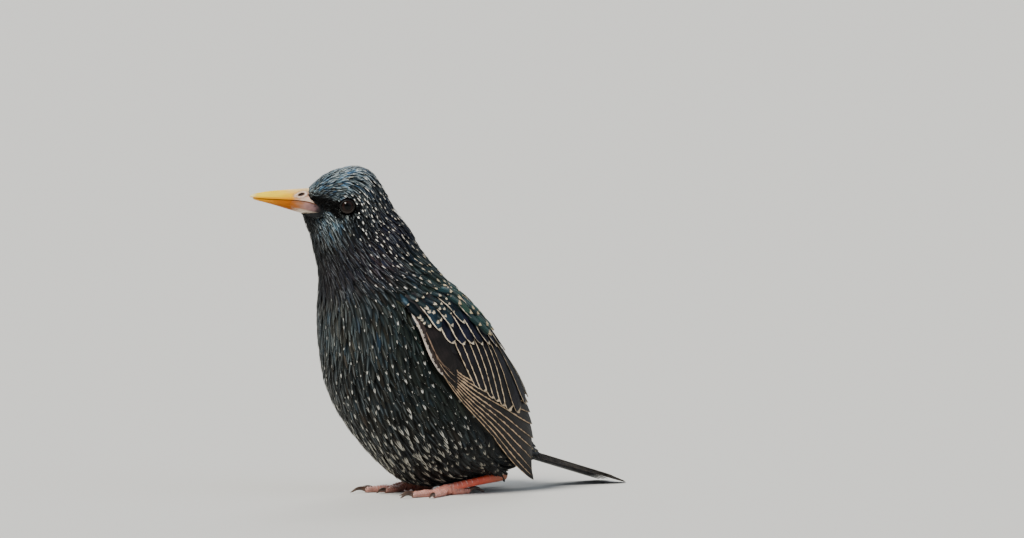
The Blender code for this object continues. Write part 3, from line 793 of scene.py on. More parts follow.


# %% [markdown]
# ### What the feathers are like, region by region
# A starling's feathers are short and narrow on the face, long and narrow on the throat, where they
# hang as hackles, and broad on the back. In late winter most of the pale tips have worn to small
# spots: close on the cheek and nape, few on the breast, long and greyish on the belly. Each region
# is one row, and a feather between two regions takes a share of both.

# %% The coat's regions
# Name: station, place from belly 0 to back 1, length, width, spacing, spot spacing, spot length,
# all in millimetres, then notch, painted glint along the shaft, pointedness, gloss colour, spot colour
REGIONS = {
    "chin": (1.0, 0.05, 3.0, 0.8, 0.8, 9.0, 0.0, 0.0, 0.15, 0.8, "#07090A", "#9AA3A0"),
    "throat": (4.5, 0.03, 7.5, 1.1, 1.05, 5.0, 0.3, 0.0, 0.12, 0.9, "#050708", "#8E9A9C"),
    "foreneck": (7.5, 0.05, 9.0, 1.4, 1.3, 5.0, 0.45, 0.1, 0.2, 0.9, "#131218", "#A9AEAC"),
    "low_neck": (6.6, 0.26, 7.5, 1.3, 1.2, 4.5, 0.5, 0.1, 0.2, 0.9, "#121118", "#A9AEAC"),
    "breast": (10.5, 0.08, 10.0, 1.8, 1.55, 4.6, 0.8, 0.6, 0.34, 0.7, "#272F2F", "#D0D0CA"),
    "low_breast": (13.0, 0.08, 10.5, 2.2, 1.8, 3.0, 1.7, 0.8, 0.3, 0.6, "#171B1A", "#CFCDC4"),
    "belly": (15.3, 0.1, 11.0, 2.3, 1.9, 2.0, 4.0, 0.9, 0.25, 0.6, "#100E0C", "#B4B1A4"),
    "vent": (18.0, 0.15, 12.0, 2.9, 2.2, 3.6, 2.2, 0.6, 0.1, 0.5, "#0F0D0A", "#8F897C"),
    "jowl": (5.0, 0.14, 6.0, 1.1, 1.05, 5.0, 0.3, 0.0, 0.1, 0.9, "#050709", "#8E9A9C"),
    "lores": (1.6, 0.45, 1.8, 0.7, 0.7, 9.0, 0.0, 0.0, 0.02, 0.6, "#040505", "#555555"),
    "cheek": (4.2, 0.34, 4.0, 1.1, 1.0, 2.6, 0.6, 0.0, 2.1, 0.7, "#3A4B52", "#B4BAB8"),
    "ear": (5.6, 0.6, 4.5, 1.1, 1.05, 1.45, 1.15, 0.0, 0.3, 0.6, "#0A0F13", "#EDEDE6"),
    "neck_side": (8.2, 0.45, 7.5, 1.5, 1.35, 2.0, 1.2, 0.1, 0.45, 0.8, "#1C1722", "#E2DCD8"),
    "shoulder": (10.4, 0.45, 9.0, 2.3, 1.8, 3.4, 1.2, 0.6, 0.2, 0.6, "#0E1E19", "#E6E4DC"),
    "flank": (13.0, 0.32, 11.0, 2.9, 2.0, 4.0, 1.5, 1.0, 0.04, 0.5, "#0F1916", "#F6F5EE"),
    "low_flank": (16.5, 0.35, 11.0, 3.2, 2.2, 4.2, 1.9, 0.7, 0.05, 0.5, "#0B1011", "#A39D90"),
    "forehead": (1.0, 0.95, 2.8, 0.95, 0.85, 9.0, 0.0, 0.0, 2.4, 0.8, "#4A5D66", "#93A4A6"),
    "crown": (3.2, 0.97, 5.5, 1.35, 1.15, 2.0, 0.7, 0.0, 3.2, 0.95, "#4A5D68", "#E4EAE8"),
    "hind_crown": (5.0, 0.95, 6.0, 1.2, 1.1, 1.7, 1.2, 0.0, 0.6, 0.8, "#10181D", "#E6E1D4"),
    "nape": (7.0, 0.95, 7.5, 1.5, 1.4, 2.0, 1.2, 0.0, 0.3, 0.7, "#131322", "#E2DACA"),
    "mantle": (10.0, 0.95, 10.5, 3.6, 2.2, 3.3, 1.3, 0.1, 0.15, 0.4, "#142B28", "#D4C6A6"),
    "back": (14.0, 0.95, 12.5, 4.2, 2.5, 4.2, 1.4, 0.1, 0.1, 0.3, "#15282F", "#B9AA88"),
    "rump": (18.0, 0.9, 12.5, 4.2, 2.5, 4.4, 1.4, 0.1, 0.1, 0.3, "#17191F", "#9F9174"),
}
region_rows = list(REGIONS.values())
region_at = np.array([row[:2] for row in region_rows])
region_sizes = np.array([row[2:10] for row in region_rows])
region_gloss = np.array([colour(row[10]) for row in region_rows])
region_spots = np.array([colour(row[11]) for row in region_rows])
REGION_REACH = np.array([1.35, 0.2])


def region_shares(k, angle):
    """How much each region has to say at each place on the body."""
    up = 0.5 - 0.5 * np.cos(angle)
    away_from = (np.stack([k, up], axis=-1)[:, None, :] - region_at) / REGION_REACH
    share = np.exp(-np.sum(away_from**2, axis=-1)) + 1e-9
    return share / share.sum(axis=1, keepdims=True)


def coat_values(k, angle):
    """Each root's sizes by name, its gloss and its spot colour."""
    share = region_shares(k, angle)
    names = ("length", "width", "spacing", "spot_spacing", "spot", "notch", "painted_glint", "pointed")
    sizes = dict(zip(names, (share @ region_sizes).T))
    return sizes, share @ region_gloss, share @ region_spots


# %% The wing's shape, in the drawing's millimetres
WING_UPPER = [
    (-13.0, -15.0, 94.0),
    (0.0, -12.0, 88.5),
    (13.0, -9.5, 78.5),
    (26.0, -6.5, 65.0),
    (39.5, -6.0, 48.5),
    (47.5, -6.0, 30.0),
    (48.8, -10.0, 5.0),
]
WING_LOWER = [
    (-34.0, -26.0, 84.0),
    (-29.0, -30.5, 73.0),
    (-21.5, -32.0, 57.0),
    (-7.5, -31.0, 41.0),
    (10.0, -27.0, 27.0),
    (27.6, -20.0, 12.8),
    (44.5, -12.5, 1.2),
]
WING_AXIS = [
    (-33.0, 0.0, 90.0),
    (-22.0, 0.0, 78.0),
    (-11.0, 0.0, 64.0),
    (2.0, 0.0, 51.0),
    (16.0, 0.0, 37.0),
    (31.0, 0.0, 24.0),
    (45.0, -1.0, 13.0),
]


def on_wing(s, t, lift):
    """Points of the left wing: s from bend to tip, t from upper to lower edge, lift outwards."""
    s, t, lift = np.broadcast_arrays(s, t, lift)
    centre = spline(WING_AXIS, s)
    upper = spline(WING_UPPER, s) - centre
    lower = spline(WING_LOWER, s) - centre
    past = np.minimum(s, 0.0)[..., None] * (spline(WING_AXIS, s * 0 + 0.1) - WING_AXIS[0]) / 0.1
    long_up, long_low = length_of(upper), length_of(lower)
    angle = np.arccos(np.sum(upper * lower, axis=-1, keepdims=True) / (long_up * long_low))
    t = t[..., None]
    direction = upper / long_up * np.sin((1 - t) * angle) + lower / long_low * np.sin(t * angle)
    reach = mix(long_up, long_low, t) + lift[..., None]
    return centre + past + direction / np.sin(angle) * reach


def wing_cover():
    """A tree of the two folded wings' surface, to tell what lies under them."""
    bm = bmesh.new()
    for side in (1, -1):
        piece = bmesh.new()
        bmesh.ops.create_grid(piece, x_segments=40, y_segments=16, size=0.5)
        places = np.array([vert.co[:2] for vert in piece.verts]) + 0.5
        for vert, point in zip(piece.verts, on_wing(places[:, 0], places[:, 1], 0.0 * places[:, 0])):
            vert.co = point * (1, side, 1)
        scratch = bpy.data.meshes.new("scratch")
        piece.to_mesh(scratch)
        piece.free()
        bm.from_mesh(scratch)
        bpy.data.meshes.remove(scratch)
    tree = BVHTree.FromBMesh(bm)
    bm.free()
    return tree


wings_over = wing_cover()


def under_wing(points, normals):
    """How far each point lies under a wing, or 0 where no wing is over it."""
    found = np.zeros(len(points))
    for i, (point, normal) in enumerate(zip(points, normals)):
        hit = wings_over.ray_cast(Vector(point), Vector(normal), 20.0)
        if hit[0]:
            found[i] = max(hit[3], 0.01)
    return found


# %% [markdown]
# ## The feather's finish
# A contour feather is keratin, as a fingernail is. Its dark parts hold ordered grains of melanin
# that give an oily green and violet gloss, so the shader is partly metallic with a dark tint. The
# pale tip has no melanin and is matt. Fine barbs run off the shaft at a slant, real ones about
# 0.15 mm apart, drawn here three times as coarse so that they show as silky streaks.

# %% Coat material
BARBS_ALONG = 16.0
BARBS_ACROSS = 5.0
STRANDS = 4.0


def barb_bump(tree, a, b, strands, strength):
    """A bump of slanting barbs, and of strands along the feather, from places on it."""
    side = node(tree, "ShaderNodeMath", {"operation": "ABSOLUTE"}, {0: b}).outputs[0]
    down = node(tree, "ShaderNodeMath", {"operation": "MULTIPLY"}, {0: a, 1: BARBS_ALONG * 6.28})
    out = node(tree, "ShaderNodeMath", {"operation": "MULTIPLY"}, {0: side, 1: BARBS_ACROSS * 6.28})
    phase = node(
        tree, "ShaderNodeMath", {"operation": "SUBTRACT"}, {0: down.outputs[0], 1: out.outputs[0]}
    )
    wave = node(tree, "ShaderNodeMath", {"operation": "SINE"}, {0: phase.outputs[0]})
    height = node(
        tree,
        "ShaderNodeMath",
        {"operation": "MULTIPLY_ADD"},
        {0: wave.outputs[0], 1: 0.35, 2: strands},
    )
    return node(
        tree,
        "ShaderNodeBump",
        {},
        {"Height": height.outputs[0], "Strength": strength, "Distance": 0.0002},
    ).outputs[0]


def strand_noise(tree, a, b, seed):
    """Uneven strands that run along a feather, different on each one."""
    along = node(tree, "ShaderNodeMath", {"operation": "MULTIPLY"}, {0: a, 1: 1.3}).outputs[0]
    across = node(tree, "ShaderNodeMath", {"operation": "MULTIPLY"}, {0: b, 1: STRANDS}).outputs[0]
    apart = node(tree, "ShaderNodeMath", {"operation": "MULTIPLY"}, {0: seed, 1: 90.0}).outputs[0]
    place = node(tree, "ShaderNodeCombineXYZ", {}, {0: along, 1: across, 2: apart}).outputs[0]
    return node(
        tree, "ShaderNodeTexNoise", {}, {"Vector": place, "Scale": 1.0, "Detail": 3.0}
    ).outputs[0]


def coat_material():
    """Contour feathers: oily gloss on dark keratin, with a matt pale spot at the tip."""
    made, tree, shader = new_material("contour_feather")
    shader.inputs["IOR"].default_value = 1.55
    lay = node(tree, "ShaderNodeAttribute", {"attribute_name": "lay"}).outputs["Vector"]
    mark = node(tree, "ShaderNodeAttribute", {"attribute_name": "mark"}).outputs["Vector"]
    gloss = node(tree, "ShaderNodeAttribute", {"attribute_name": "gloss"}).outputs["Color"]
    pale = node(tree, "ShaderNodeAttribute", {"attribute_name": "pale"}).outputs["Color"]
    lay_parts = node(tree, "ShaderNodeSeparateXYZ", {}, {0: lay})
    a, b, seed = (lay_parts.outputs[i] for i in range(3))
    mark_parts = node(tree, "ShaderNodeSeparateXYZ", {}, {0: mark})
    spot, notch, painted_glint = (mark_parts.outputs[i] for i in range(3))
    side = node(tree, "ShaderNodeMath", {"operation": "ABSOLUTE"}, {0: b}).outputs[0]
    strands = strand_noise(tree, a, b, seed)
    # From 0 at the tip to 1 where the spot begins
    from_tip = node(tree, "ShaderNodeMath", {"operation": "SUBTRACT"}, {0: 1.0, 1: a}).outputs[0]
    share = node(tree, "ShaderNodeMath", {"operation": "DIVIDE"}, {0: from_tip, 1: spot}).outputs[0]
    # The dark shaft cuts a notch in the spot, which makes it a V
    inner = node(
        tree,
        "ShaderNodeMapRange",
        {"interpolation_type": "SMOOTHSTEP"},
        {"Value": side, "From Min": 0.0, "From Max": 0.5, "To Min": 1.0, "To Max": 0.0},
    ).outputs[0]
    cut = node(tree, "ShaderNodeMath", {"operation": "MULTIPLY"}, {0: inner, 1: notch}).outputs[0]
    outer = node(
        tree,
        "ShaderNodeMapRange",
        {"interpolation_type": "SMOOTHSTEP"},
        {"Value": side, "From Min": 0.5, "From Max": 1.0, "To Min": 0.0, "To Max": 0.7},
    ).outputs[0]
    loss = node(tree, "ShaderNodeMath", {"operation": "ADD"}, {0: cut, 1: outer}).outputs[0]
    edge = node(tree, "ShaderNodeMath", {"operation": "ADD"}, {0: share, 1: loss}).outputs[0]
    ragged = node(
        tree, "ShaderNodeMapRange", {}, {"Value": strands, "To Min": -0.3, "To Max": 0.3}
    ).outputs[0]
    edge = node(tree, "ShaderNodeMath", {"operation": "ADD"}, {0: edge, 1: ragged}).outputs[0]
    mask = node(
        tree,
        "ShaderNodeMapRange",
        {"interpolation_type": "SMOOTHSTEP"},
        {"Value": edge, "From Min": 1.15, "From Max": 0.75},
    ).outputs[0]
    # Painted highlight: a silky grey glint along the shaft, stronger towards the tip
    line = node(
        tree,
        "ShaderNodeMapRange",
        {"interpolation_type": "SMOOTHSTEP"},
        {"Value": side, "From Min": 0.45, "From Max": 0.05},
    ).outputs[0]
    nearer = node(
        tree,
        "ShaderNodeMapRange",
        {"interpolation_type": "SMOOTHSTEP"},
        {"Value": a, "From Min": 0.25, "From Max": 0.8},
    ).outputs[0]
    line = node(tree, "ShaderNodeMath", {"operation": "MULTIPLY"}, {0: line, 1: nearer}).outputs[0]
    line = node(tree, "ShaderNodeMath", {"operation": "MULTIPLY"}, {0: line, 1: painted_glint}).outputs[0]
    # Painted shade: the rims are darker than the middle, so each feather stands apart
    rim = node(
        tree,
        "ShaderNodeMapRange",
        {"interpolation_type": "SMOOTHSTEP"},
        {"Value": side, "From Min": 0.35, "From Max": 1.0, "To Min": 1.0, "To Max": 0.25},
    ).outputs[0]
    shade = node(
        tree,
        "ShaderNodeMapRange",
        {},
        {"Value": strands, "From Min": 0.35, "From Max": 0.65, "To Min": 0.35, "To Max": 1.7},
    ).outputs[0]
    shade = node(tree, "ShaderNodeMath", {"operation": "MULTIPLY"}, {0: shade, 1: rim}).outputs[0]
    dark = node(
        tree, "ShaderNodeVectorMath", {"operation": "SCALE"}, {0: gloss, "Scale": shade}
    ).outputs[0]
    # Painted highlight: the grey glint is laid over the dark ground
    with_painted_glint = node(
        tree,
        "ShaderNodeMix",
        {"data_type": "RGBA"},
        {"Factor": line, 6: dark, 7: paint("#AAB6BA")},
    ).outputs[2]
    base = node(
        tree, "ShaderNodeMix", {"data_type": "RGBA"}, {"Factor": mask, 6: with_painted_glint, 7: pale}
    ).outputs[2]
    rough = node(
        tree, "ShaderNodeMapRange", {}, {"Value": mask, "To Min": 0.38, "To Max": 0.75}
    ).outputs[0]
    # The blackest feathers are also the most matt
    light = node(tree, "ShaderNodeRGBToBW", {}, {"Color": gloss}).outputs[0]
    specular = node(
        tree, "ShaderNodeMapRange", {}, {"Value": light, "From Max": 0.012, "To Min": 0.03, "To Max": 0.36}
    ).outputs[0]
    sheen = node(
        tree, "ShaderNodeMapRange", {}, {"Value": light, "From Max": 0.006, "To Min": 0.05, "To Max": 0.45}
    ).outputs[0]
    metal = node(
        tree, "ShaderNodeMapRange", {}, {"Value": mask, "To Min": sheen, "To Max": 0.0}
    ).outputs[0]
    tree.links.new(base, shader.inputs["Base Color"])
    tree.links.new(metal, shader.inputs["Metallic"])
    tree.links.new(rough, shader.inputs["Roughness"])
    tree.links.new(specular, shader.inputs["Specular IOR Level"])
    tree.links.new(barb_bump(tree, a, b, strands, 0.5), shader.inputs["Normal"])
    return made


coat_finish = coat_material()

# %% [markdown]
# ## The coat
# Two crowds of feathers share the skin. The plain ones lie close and cover it. The spotted ones
# are set at the spacing of the pale spots, a little higher, so that each tip stays in sight. Near
# the eye and the bill's root feathers are cut to what fits, and under the folded wings there are
# none.

# %% Roots of the whole coat
draw = np.random.default_rng(41)
SHORTEST = 1.0
EYE_CLEAR = 3.0
WING_ROOM_AT = [15.5, 17.0]
WING_ROOM = [6.5, 2.6]
SPOTTED_WIDTH = 0.8
FAINTEST_SPOT = 0.35


def plain_spacing(k, angle):
    return coat_values(k, angle)[0]["spacing"]


def spot_spacing(k, angle):
    return coat_values(k, angle)[0]["spot_spacing"]


def face_spacing(k, angle):
    """The short velvet of the face: only near the eye and the root of the bill."""
    f, y, g = head_place(k, angle)
    off_eye = np.hypot(f - EYE_AT[0], g - EYE_AT[1])
    near_bill = np.abs(f - feather_edge(g)) < 2.5
    beside_bill = (f > 12) & (np.abs(g - chin_edge(f)) < 1.8)
    near_eye = (off_eye < 7.5) & (f > 2.5)
    under_eye = (off_eye < 5.0) & (g < EYE_AT[1])
    wanted = near_bill | beside_bill | near_eye | under_eye
    return np.where(wanted & (np.abs(y) > 2.0), 0.6, 40.0)


def head_place(k, angle):
    """Where a root is in the straight head's own frame."""
    point = straight_body(k, angle)
    return HEAD_CENTRE[0] - point[:, 0], point[:, 1], point[:, 2] - HEAD_CENTRE[1]


# The black mask from the bill's root to behind the eye: place f, middle height g, half height
MASK = [
    (-1.5, -2.1, 0.0),
    (0.8, -2.1, 2.0),
    (4.0, -2.2, 3.4),
    (8.0, -2.9, 3.3),
    (14.0, -1.2, 2.3),
    (18.0, 0.1, 1.7),
    (20.5, 1.4, 1.6),
]


def in_mask(f, g):
    """How black the face is at each place, from 0 to 1."""
    places = [row[0] for row in MASK]
    middle = np.interp(f, places, [row[1] for row in MASK])
    half = np.interp(f, places, [row[2] for row in MASK])
    return smooth(0.5 + (half - np.abs(g - middle)) / 1.0) * (half > 0.05)


def grow_coat(spacing_at, count, spotted, last=LAST_STATION):
    """Everything about one crowd of feathers: roots, sizes and colours."""
    k, angle = scatter(on_body, (0.0, 0.0), (last, 2 * math.pi), spacing_at, count, draw)
    f, y, g = head_place(k, angle)
    off_eye = np.hypot(f - EYE_AT[0], g - EYE_AT[1])
    beside = np.abs(y) > 3.0
    keep = ~(is_bare(f, g) & (k < 3)) & ~((off_eye < EYE_CLEAR) & (k < 7) & beside)
    k, angle, f, g, off_eye = (x[keep] for x in (k, angle, f, g, off_eye))
    points = on_body(k, angle, 0.0)
    _, _, normals = surface_frame(on_body, k, angle)
    under = under_wing(points, normals)
    keep = (under == 0) | (under > np.interp(k, WING_ROOM_AT, WING_ROOM))
    k, angle, f, g, off_eye = (x[keep] for x in (k, angle, f, g, off_eye))
    sizes, gloss, pale = coat_values(k, angle)
    count = len(k)
    length = sizes["length"] * draw.uniform(0.88, 1.1, count)
    # Feathers before the eye end at its rim, and those round it are short
    before = (f > EYE_AT[0]) & (np.abs(g - EYE_AT[1]) < 3.6)
    room = np.where(before, off_eye - EYE_CLEAR + 0.1, 99.0)
    length = np.where((off_eye < 12) & (k < 7), np.minimum(length, room), length)
    near_eye = 0.9 + 0.75 * np.maximum(off_eye - EYE_CLEAR, 0)
    length = np.minimum(length, np.where(k < 7, near_eye, 99))
    if last < LAST_STATION:
        length = np.minimum(length, draw.uniform(1.1, 1.9, count))
    length = np.maximum(length, SHORTEST)
    width = np.minimum(sizes["width"], 0.6 * length + 0.4) * draw.uniform(0.9, 1.12, count)
    depth = np.interp(k, COAT_DEPTH_AT, COAT_DEPTH)
    size = {
        "length": length,
        "width": width,
        "turn": draw.normal(0.0, 0.09, count),
        "bend": draw.normal(0.0, 0.04, count),
        "root_lift": np.full(count, -0.25),
        "tip_lift": depth * draw.uniform(0.75, 1.15, count) * np.clip(length / 4.0, 0.55, 1.0),
        "pointed": sizes["pointed"],
        "thickness": np.clip(0.06 * width, 0.1, 0.22),
    }
    if spotted:
        size["tip_lift"] = size["tip_lift"] + np.where(k < 9, 0.3, 0.15)
        size["width"] = width * SPOTTED_WIDTH
    spot = sizes["spot"] * draw.uniform(0.35, 1.45, count) / length
    black = in_mask(f, g) * (k < 7)
    shown = spotted & (sizes["spot"] > FAINTEST_SPOT) & (black < 0.3) & (k > 2.6)
    spot = np.where(shown, np.minimum(spot, 0.55), 0.01)
    notch = np.clip(sizes["notch"] * draw.uniform(0.5, 1.3, count), 0, 1)
    # How strong each feather's painted glint along the shaft is, none in the black mask
    painted_glint = sizes["painted_glint"] * draw.uniform(0.0, 1.0, count) ** 1.5 * (1 - black)
    hue = draw.normal(0.0, 1.0, count)[:, None]
    light = np.exp(draw.normal(0.0, 1.0, count) * np.where(k < 6, 0.5, 0.36))[:, None]
    gloss = gloss * np.exp(hue * (0.25, 0.0, -0.2)) * light
    gloss = mix(gloss, np.array(colour("#030303")), black[:, None])
    # A thin paler line below the eye
    under_eye = np.exp(-(((off_eye - 3.9) / 0.45) ** 2)) * (g < EYE_AT[1] - 1.5) * (k < 7)
    gloss = mix(gloss, np.array(colour("#77807F")), 0.7 * under_eye[:, None])
    return {
        "k": k,
        "angle": angle,
        "size": size,
        "mark": np.stack([spot, notch, painted_glint], axis=-1),
        "gloss": gloss,
        "pale": pale * draw.uniform(0.85, 1.08, count)[:, None],
        "seed": draw.uniform(0, 1, count),
    }


FACE_ENDS = 6.5
crowds = [
    grow_coat(plain_spacing, 60000, False),
    grow_coat(spot_spacing, 30000, True),
    grow_coat(face_spacing, 40000, False, FACE_ENDS),
]


def merged(one, other):
    """Two crowds as one."""
    if isinstance(one, dict):
        return {key: merged(one[key], other[key]) for key in one}
    return np.concatenate([one, other])


print("crowds:", [len(crowd["k"]) for crowd in crowds])
coat = merged(merged(crowds[0], crowds[1]), crowds[2])
print("feathers on the body:", len(coat["k"]), "of them spotted:", len(crowds[1]["k"]))

# %% [markdown]
# ### The skin's unwrap
# When the finished bird is baked to pictures, each feather needs a small patch of its own. Its
# place is on an unwrap of the skin itself: the station runs up it, stretched so that every stretch
# has room for its feathers, and the angle runs across.


# %% Lay the coat in pieces
def unwrap_places(k, angle):
    """Each root's place on the skin's unwrap, with stations spread by how many roots they hold."""
    order = np.sort(k)
    up = np.searchsorted(order, k) / max(len(order) - 1, 1)
    return np.stack([0.01 + 0.98 * angle / (2 * math.pi), 0.01 + 0.98 * up], axis=-1)


def feather_values(template, mark, gloss, pale, seed):
    """The arrays that the coat's material reads, for every point of every feather."""
    shape = (len(seed), len(template["a"]))
    a = np.broadcast_to(1 - (1 - template["a"]) ** 1.25, shape)
    b = np.broadcast_to(template["b"], shape)
    lay = np.stack([a, b, np.broadcast_to(seed[:, None], shape)], axis=-1)

    def spread(rows):
        return np.broadcast_to(rows[:, None, :], (*shape, 3))

    return {"lay": lay, "mark": spread(mark), "gloss": spread(gloss), "pale": spread(pale)}


PIECES = [
    ("coat_head", 0.0, 6.2, small_vane),
    ("coat_neck", 6.2, 9.2, small_vane),
    ("coat_breast", 9.2, 13.2, fine_vane),
    ("coat_belly", 13.2, 16.2, fine_vane),
    ("coat_vent", 16.2, 20.1, fine_vane),
]
coat_total = 0
for name, first, last, template in PIECES:
    here = (coat["k"] >= first) & (coat["k"] < last)
    k, angle = coat["k"][here], coat["angle"][here]
    size = {key: value[here] for key, value in coat["size"].items()}
    points = laid_feathers(on_body, k, angle, size, template, draw)
    points[..., 2] = np.maximum(points[..., 2], 0.25)
    values = feather_values(
        template, coat["mark"][here], coat["gloss"][here], coat["pale"][here], coat["seed"][here]
    )
    piece = copies_mesh(
        name, points, template, coat_finish, values, unwrap_places(k, angle)
    )
    triangles = int(np.sum(template["sizes"] - 2)) * len(k)
    coat_total += triangles
    print(name, "feathers:", len(k), "triangles:", triangles)
print("coat triangles:", coat_total)

# %% [markdown]
# ### Thighs
# A starling's thigh is feathered down to the heel with soft, short feathers that lie along it. The
# thigh's own tube carries them, read from the knee down and drawn out a little past the heel.

# %% Feathers of the thighs
THIGH_OVERHANG = 3.0
thigh_line = [HEEL - heel_to_knee / np.linalg.norm(heel_to_knee) * THIGH_OVERHANG, *thigh_knots]
thigh_radii = [1.6, *(r - THIGH_COAT for r in THIGH_RADII)]
long_thigh = tube_surface(thigh_line, thigh_radii)


def down_thigh(p, q, lift):
    """Places on the thigh from the knee, at p = 0, past the heel, at p = 1."""
    return long_thigh(1 - p, q, lift)


def thigh_spacing(p, q):
    return np.full_like(p, 1.7)


p, q = scatter(down_thigh, (0.1, 0.0), (0.74, 1.0), thigh_spacing, 4000, draw)
thigh_count = len(p)
thigh_size = {
    "length": draw.uniform(5.0, 7.0, thigh_count),
    "width": draw.uniform(1.9, 2.5, thigh_count),
    "turn": draw.normal(0.0, 0.1, thigh_count),
    "bend": draw.normal(0.0, 0.04, thigh_count),
    "root_lift": np.full(thigh_count, -0.2),
    "tip_lift": draw.uniform(0.6, 1.0, thigh_count),
    "pointed": np.full(thigh_count, 0.6),
    "thickness": np.full(thigh_count, 0.14),
}
thigh_points = laid_feathers(down_thigh, p, q, thigh_size, fine_vane, draw)
thigh_points[..., 2] = np.maximum(thigh_points[..., 2], 0.25)
thigh_spots = np.where(draw.uniform(0, 1, thigh_count) < 0.3, 1.6 / thigh_size["length"], 0.01)
# The third mark is the strength of the painted glint along the shaft
thigh_marks = stacked(thigh_spots, 0.5, draw.uniform(0, 0.1, thigh_count))
thigh_gloss = np.array(colour("#12110F")) * draw.uniform(0.6, 1.5, thigh_count)[:, None]
thigh_pale = np.array(colour("#8F897C")) * draw.uniform(0.8, 1.1, thigh_count)[:, None]
thigh_values = feather_values(
    fine_vane, thigh_marks, thigh_gloss, thigh_pale, draw.uniform(0, 1, thigh_count)
)
for side_name, side in (("left", 1), ("right", -1)):
    copies_mesh(
        f"coat_thigh_{side_name}",
        thigh_points * (1, side, 1),
        fine_vane,
        coat_finish,
        thigh_values,
        stacked(0.02 + 0.96 * q, 0.02 + 0.96 * p),
    )
print("feathers a thigh:", thigh_count)

# %% [markdown]
# ## Folded wings
# A folded wing is a fan that has been shut. The long primaries make a narrow bundle along its
# lower edge, the secondaries and tertials lie over them like roof tiles, and rows of coverts hide
# all their roots. Each feather runs between two lines across the wing, so its outer edge shows
# and its inner edge lies under the next one. The flesh under them is a thin dark plate.

# %% The wing's own sizes
CORE_DEPTH = 4.0
CORE_RISE = (0.45, -1.75)
CORE_END = 0.6
VANE_TILT = 0.55
ROOT_SINKS = 0.5
# Each tier: how many feathers, then pairs for its first and its last one. They run along the wing
# from start to end. Their outer edge lies across it at root_edge and swings, late in its length if
# late is large, to tip_edge. Widths and edge lines are in millimetres
WING_TIERS = {
    "primary": {
        "count": 9,
        "start": (0.27, 0.3),
        "end": (1.0, 0.73),
        "root_edge": (1.0, 0.93),
        "tip_edge": (1.0, 0.34),
        "late": 2.0,
        "width": (7.0, 12.0),
        "lift": (-1.9, -1.25),
        "tip": (0.75, 0.35),
        "look": ("#0E0B0C", "#C2A787", 0.5, 0.0, 0.05),
    },
    "secondary": {
        "count": 6,
        "start": (0.2, 0.27),
        "end": (0.51, 0.66),
        "root_edge": (0.7, 0.28),
        "tip_edge": (0.865, 0.78),
        "late": 1.0,
        "width": (9.0, 10.0),
        "lift": (-1.1, -0.65),
        "tip": (0.82, 0.0),
        "look": ("#0B0A11", "#D9C3A4", 0.46, 0.028, 0.25),
    },
    "tertial": {
        "count": 4,
        "start": (0.26, 0.3),
        "end": (0.69, 0.73),
        "root_edge": (0.24, 0.02),
        "tip_edge": (0.72, 0.2),
        "late": 1.0,
        "width": (12.0, 13.5),
        "lift": (-0.5, -0.2),
        "tip": (0.75, 0.1),
        "look": ("#0C0B12", "#D6BE9C", 0.42, 0.025, 0.25),
    },
    "primary_covert": {
        "count": 4,
        "start": (0.17, 0.2),
        "end": (0.46, 0.4),
        "root_edge": (0.99, 0.93),
        "tip_edge": (0.995, 0.92),
        "late": 1.0,
        "width": (4.0, 4.5),
        "lift": (-0.6, -0.3),
        "tip": (0.7, 0.4),
        "look": ("#0E0A0B", "#B39C82", 0.24, 0.0, 0.05),
    },
    "greater_covert": {
        "count": 8,
        "start": (0.12, 0.26),
        "end": (0.315, 0.52),
        "root_edge": (0.8, 0.08),
        "tip_edge": (0.83, 0.3),
        "late": 1.0,
        "width": (7.0, 8.0),
        "lift": (-0.1, 0.5),
        "tip": (0.7, 0.35),
        "look": ("#141728", "#E2D2B8", 0.54, 0.042, 0.45),
    },
    "alula": {
        "count": 2,
        "start": (0.11, 0.13),
        "end": (0.395, 0.385),
        "root_edge": (0.965, 0.962),
        "tip_edge": (0.97, 0.965),
        "late": 1.0,
        "width": (7.5, 6.0),
        "lift": (0.35, 0.65),
        "tip": (0.6, 0.2),
        "look": ("#0F0A0A", "#8C7563", 0.22, 0.0, 0.05),
    },
    "marginal_covert": {
        "count": 10,
        "start": (0.1, 0.29),
        "end": (0.2, 0.39),
        "root_edge": (1.01, 1.01),
        "tip_edge": (1.02, 1.012),
        "late": 1.0,
        "width": (3.0, 2.2),
        "lift": (0.8, 0.3),
        "tip": (0.5, 0.4),
        "look": ("#2A2220", "#CDC1B6", 0.7, 0.1, 0.0),
    },
    "median_covert": {
        "count": 7,
        "start": (0.06, 0.16),
        "end": (0.24, 0.38),
        "root_edge": (0.86, 0.02),
        "tip_edge": (0.88, 0.1),
        "late": 1.0,
        "width": (5.5, 6.5),
        "lift": (0.75, 1.05),
        "tip": (0.6, 0.4),
        "look": ("#182832", "#E4D6BE", 0.5, 0.06, 0.5),
    },
}


def core_low(s, t):
    """How deep the wing's flesh reaches: most at the shoulder, and nothing at the tip."""
    flesh = smooth((0.75 - s) / 0.5) * np.sin(np.pi * np.clip(t, 0.03, 0.97)) ** 0.5
    return CORE_RISE[1] - 0.7 - CORE_DEPTH * flesh


def core_top(s, t):
    """How high the wing's flesh stands: a slope that carries the tiers."""
    return mix(*CORE_RISE, smooth((s - 0.15 * (0.8 - t)) / 0.42))


def wing_core(u, v):
    """The wing's flesh: over its outer face for v up to a half, and back under it."""
    s = CORE_END * u
    t = np.where(v < 0.5, 2 * v, 2 - 2 * v)
    rise = np.interp(v, [0, 0.03, 0.47, 0.53, 0.97, 1], [0.5, 1, 1, 0, 0, 0.5])
    return on_wing(s, t, mix(core_low(s, t), core_top(s, t) - 0.1, rise))


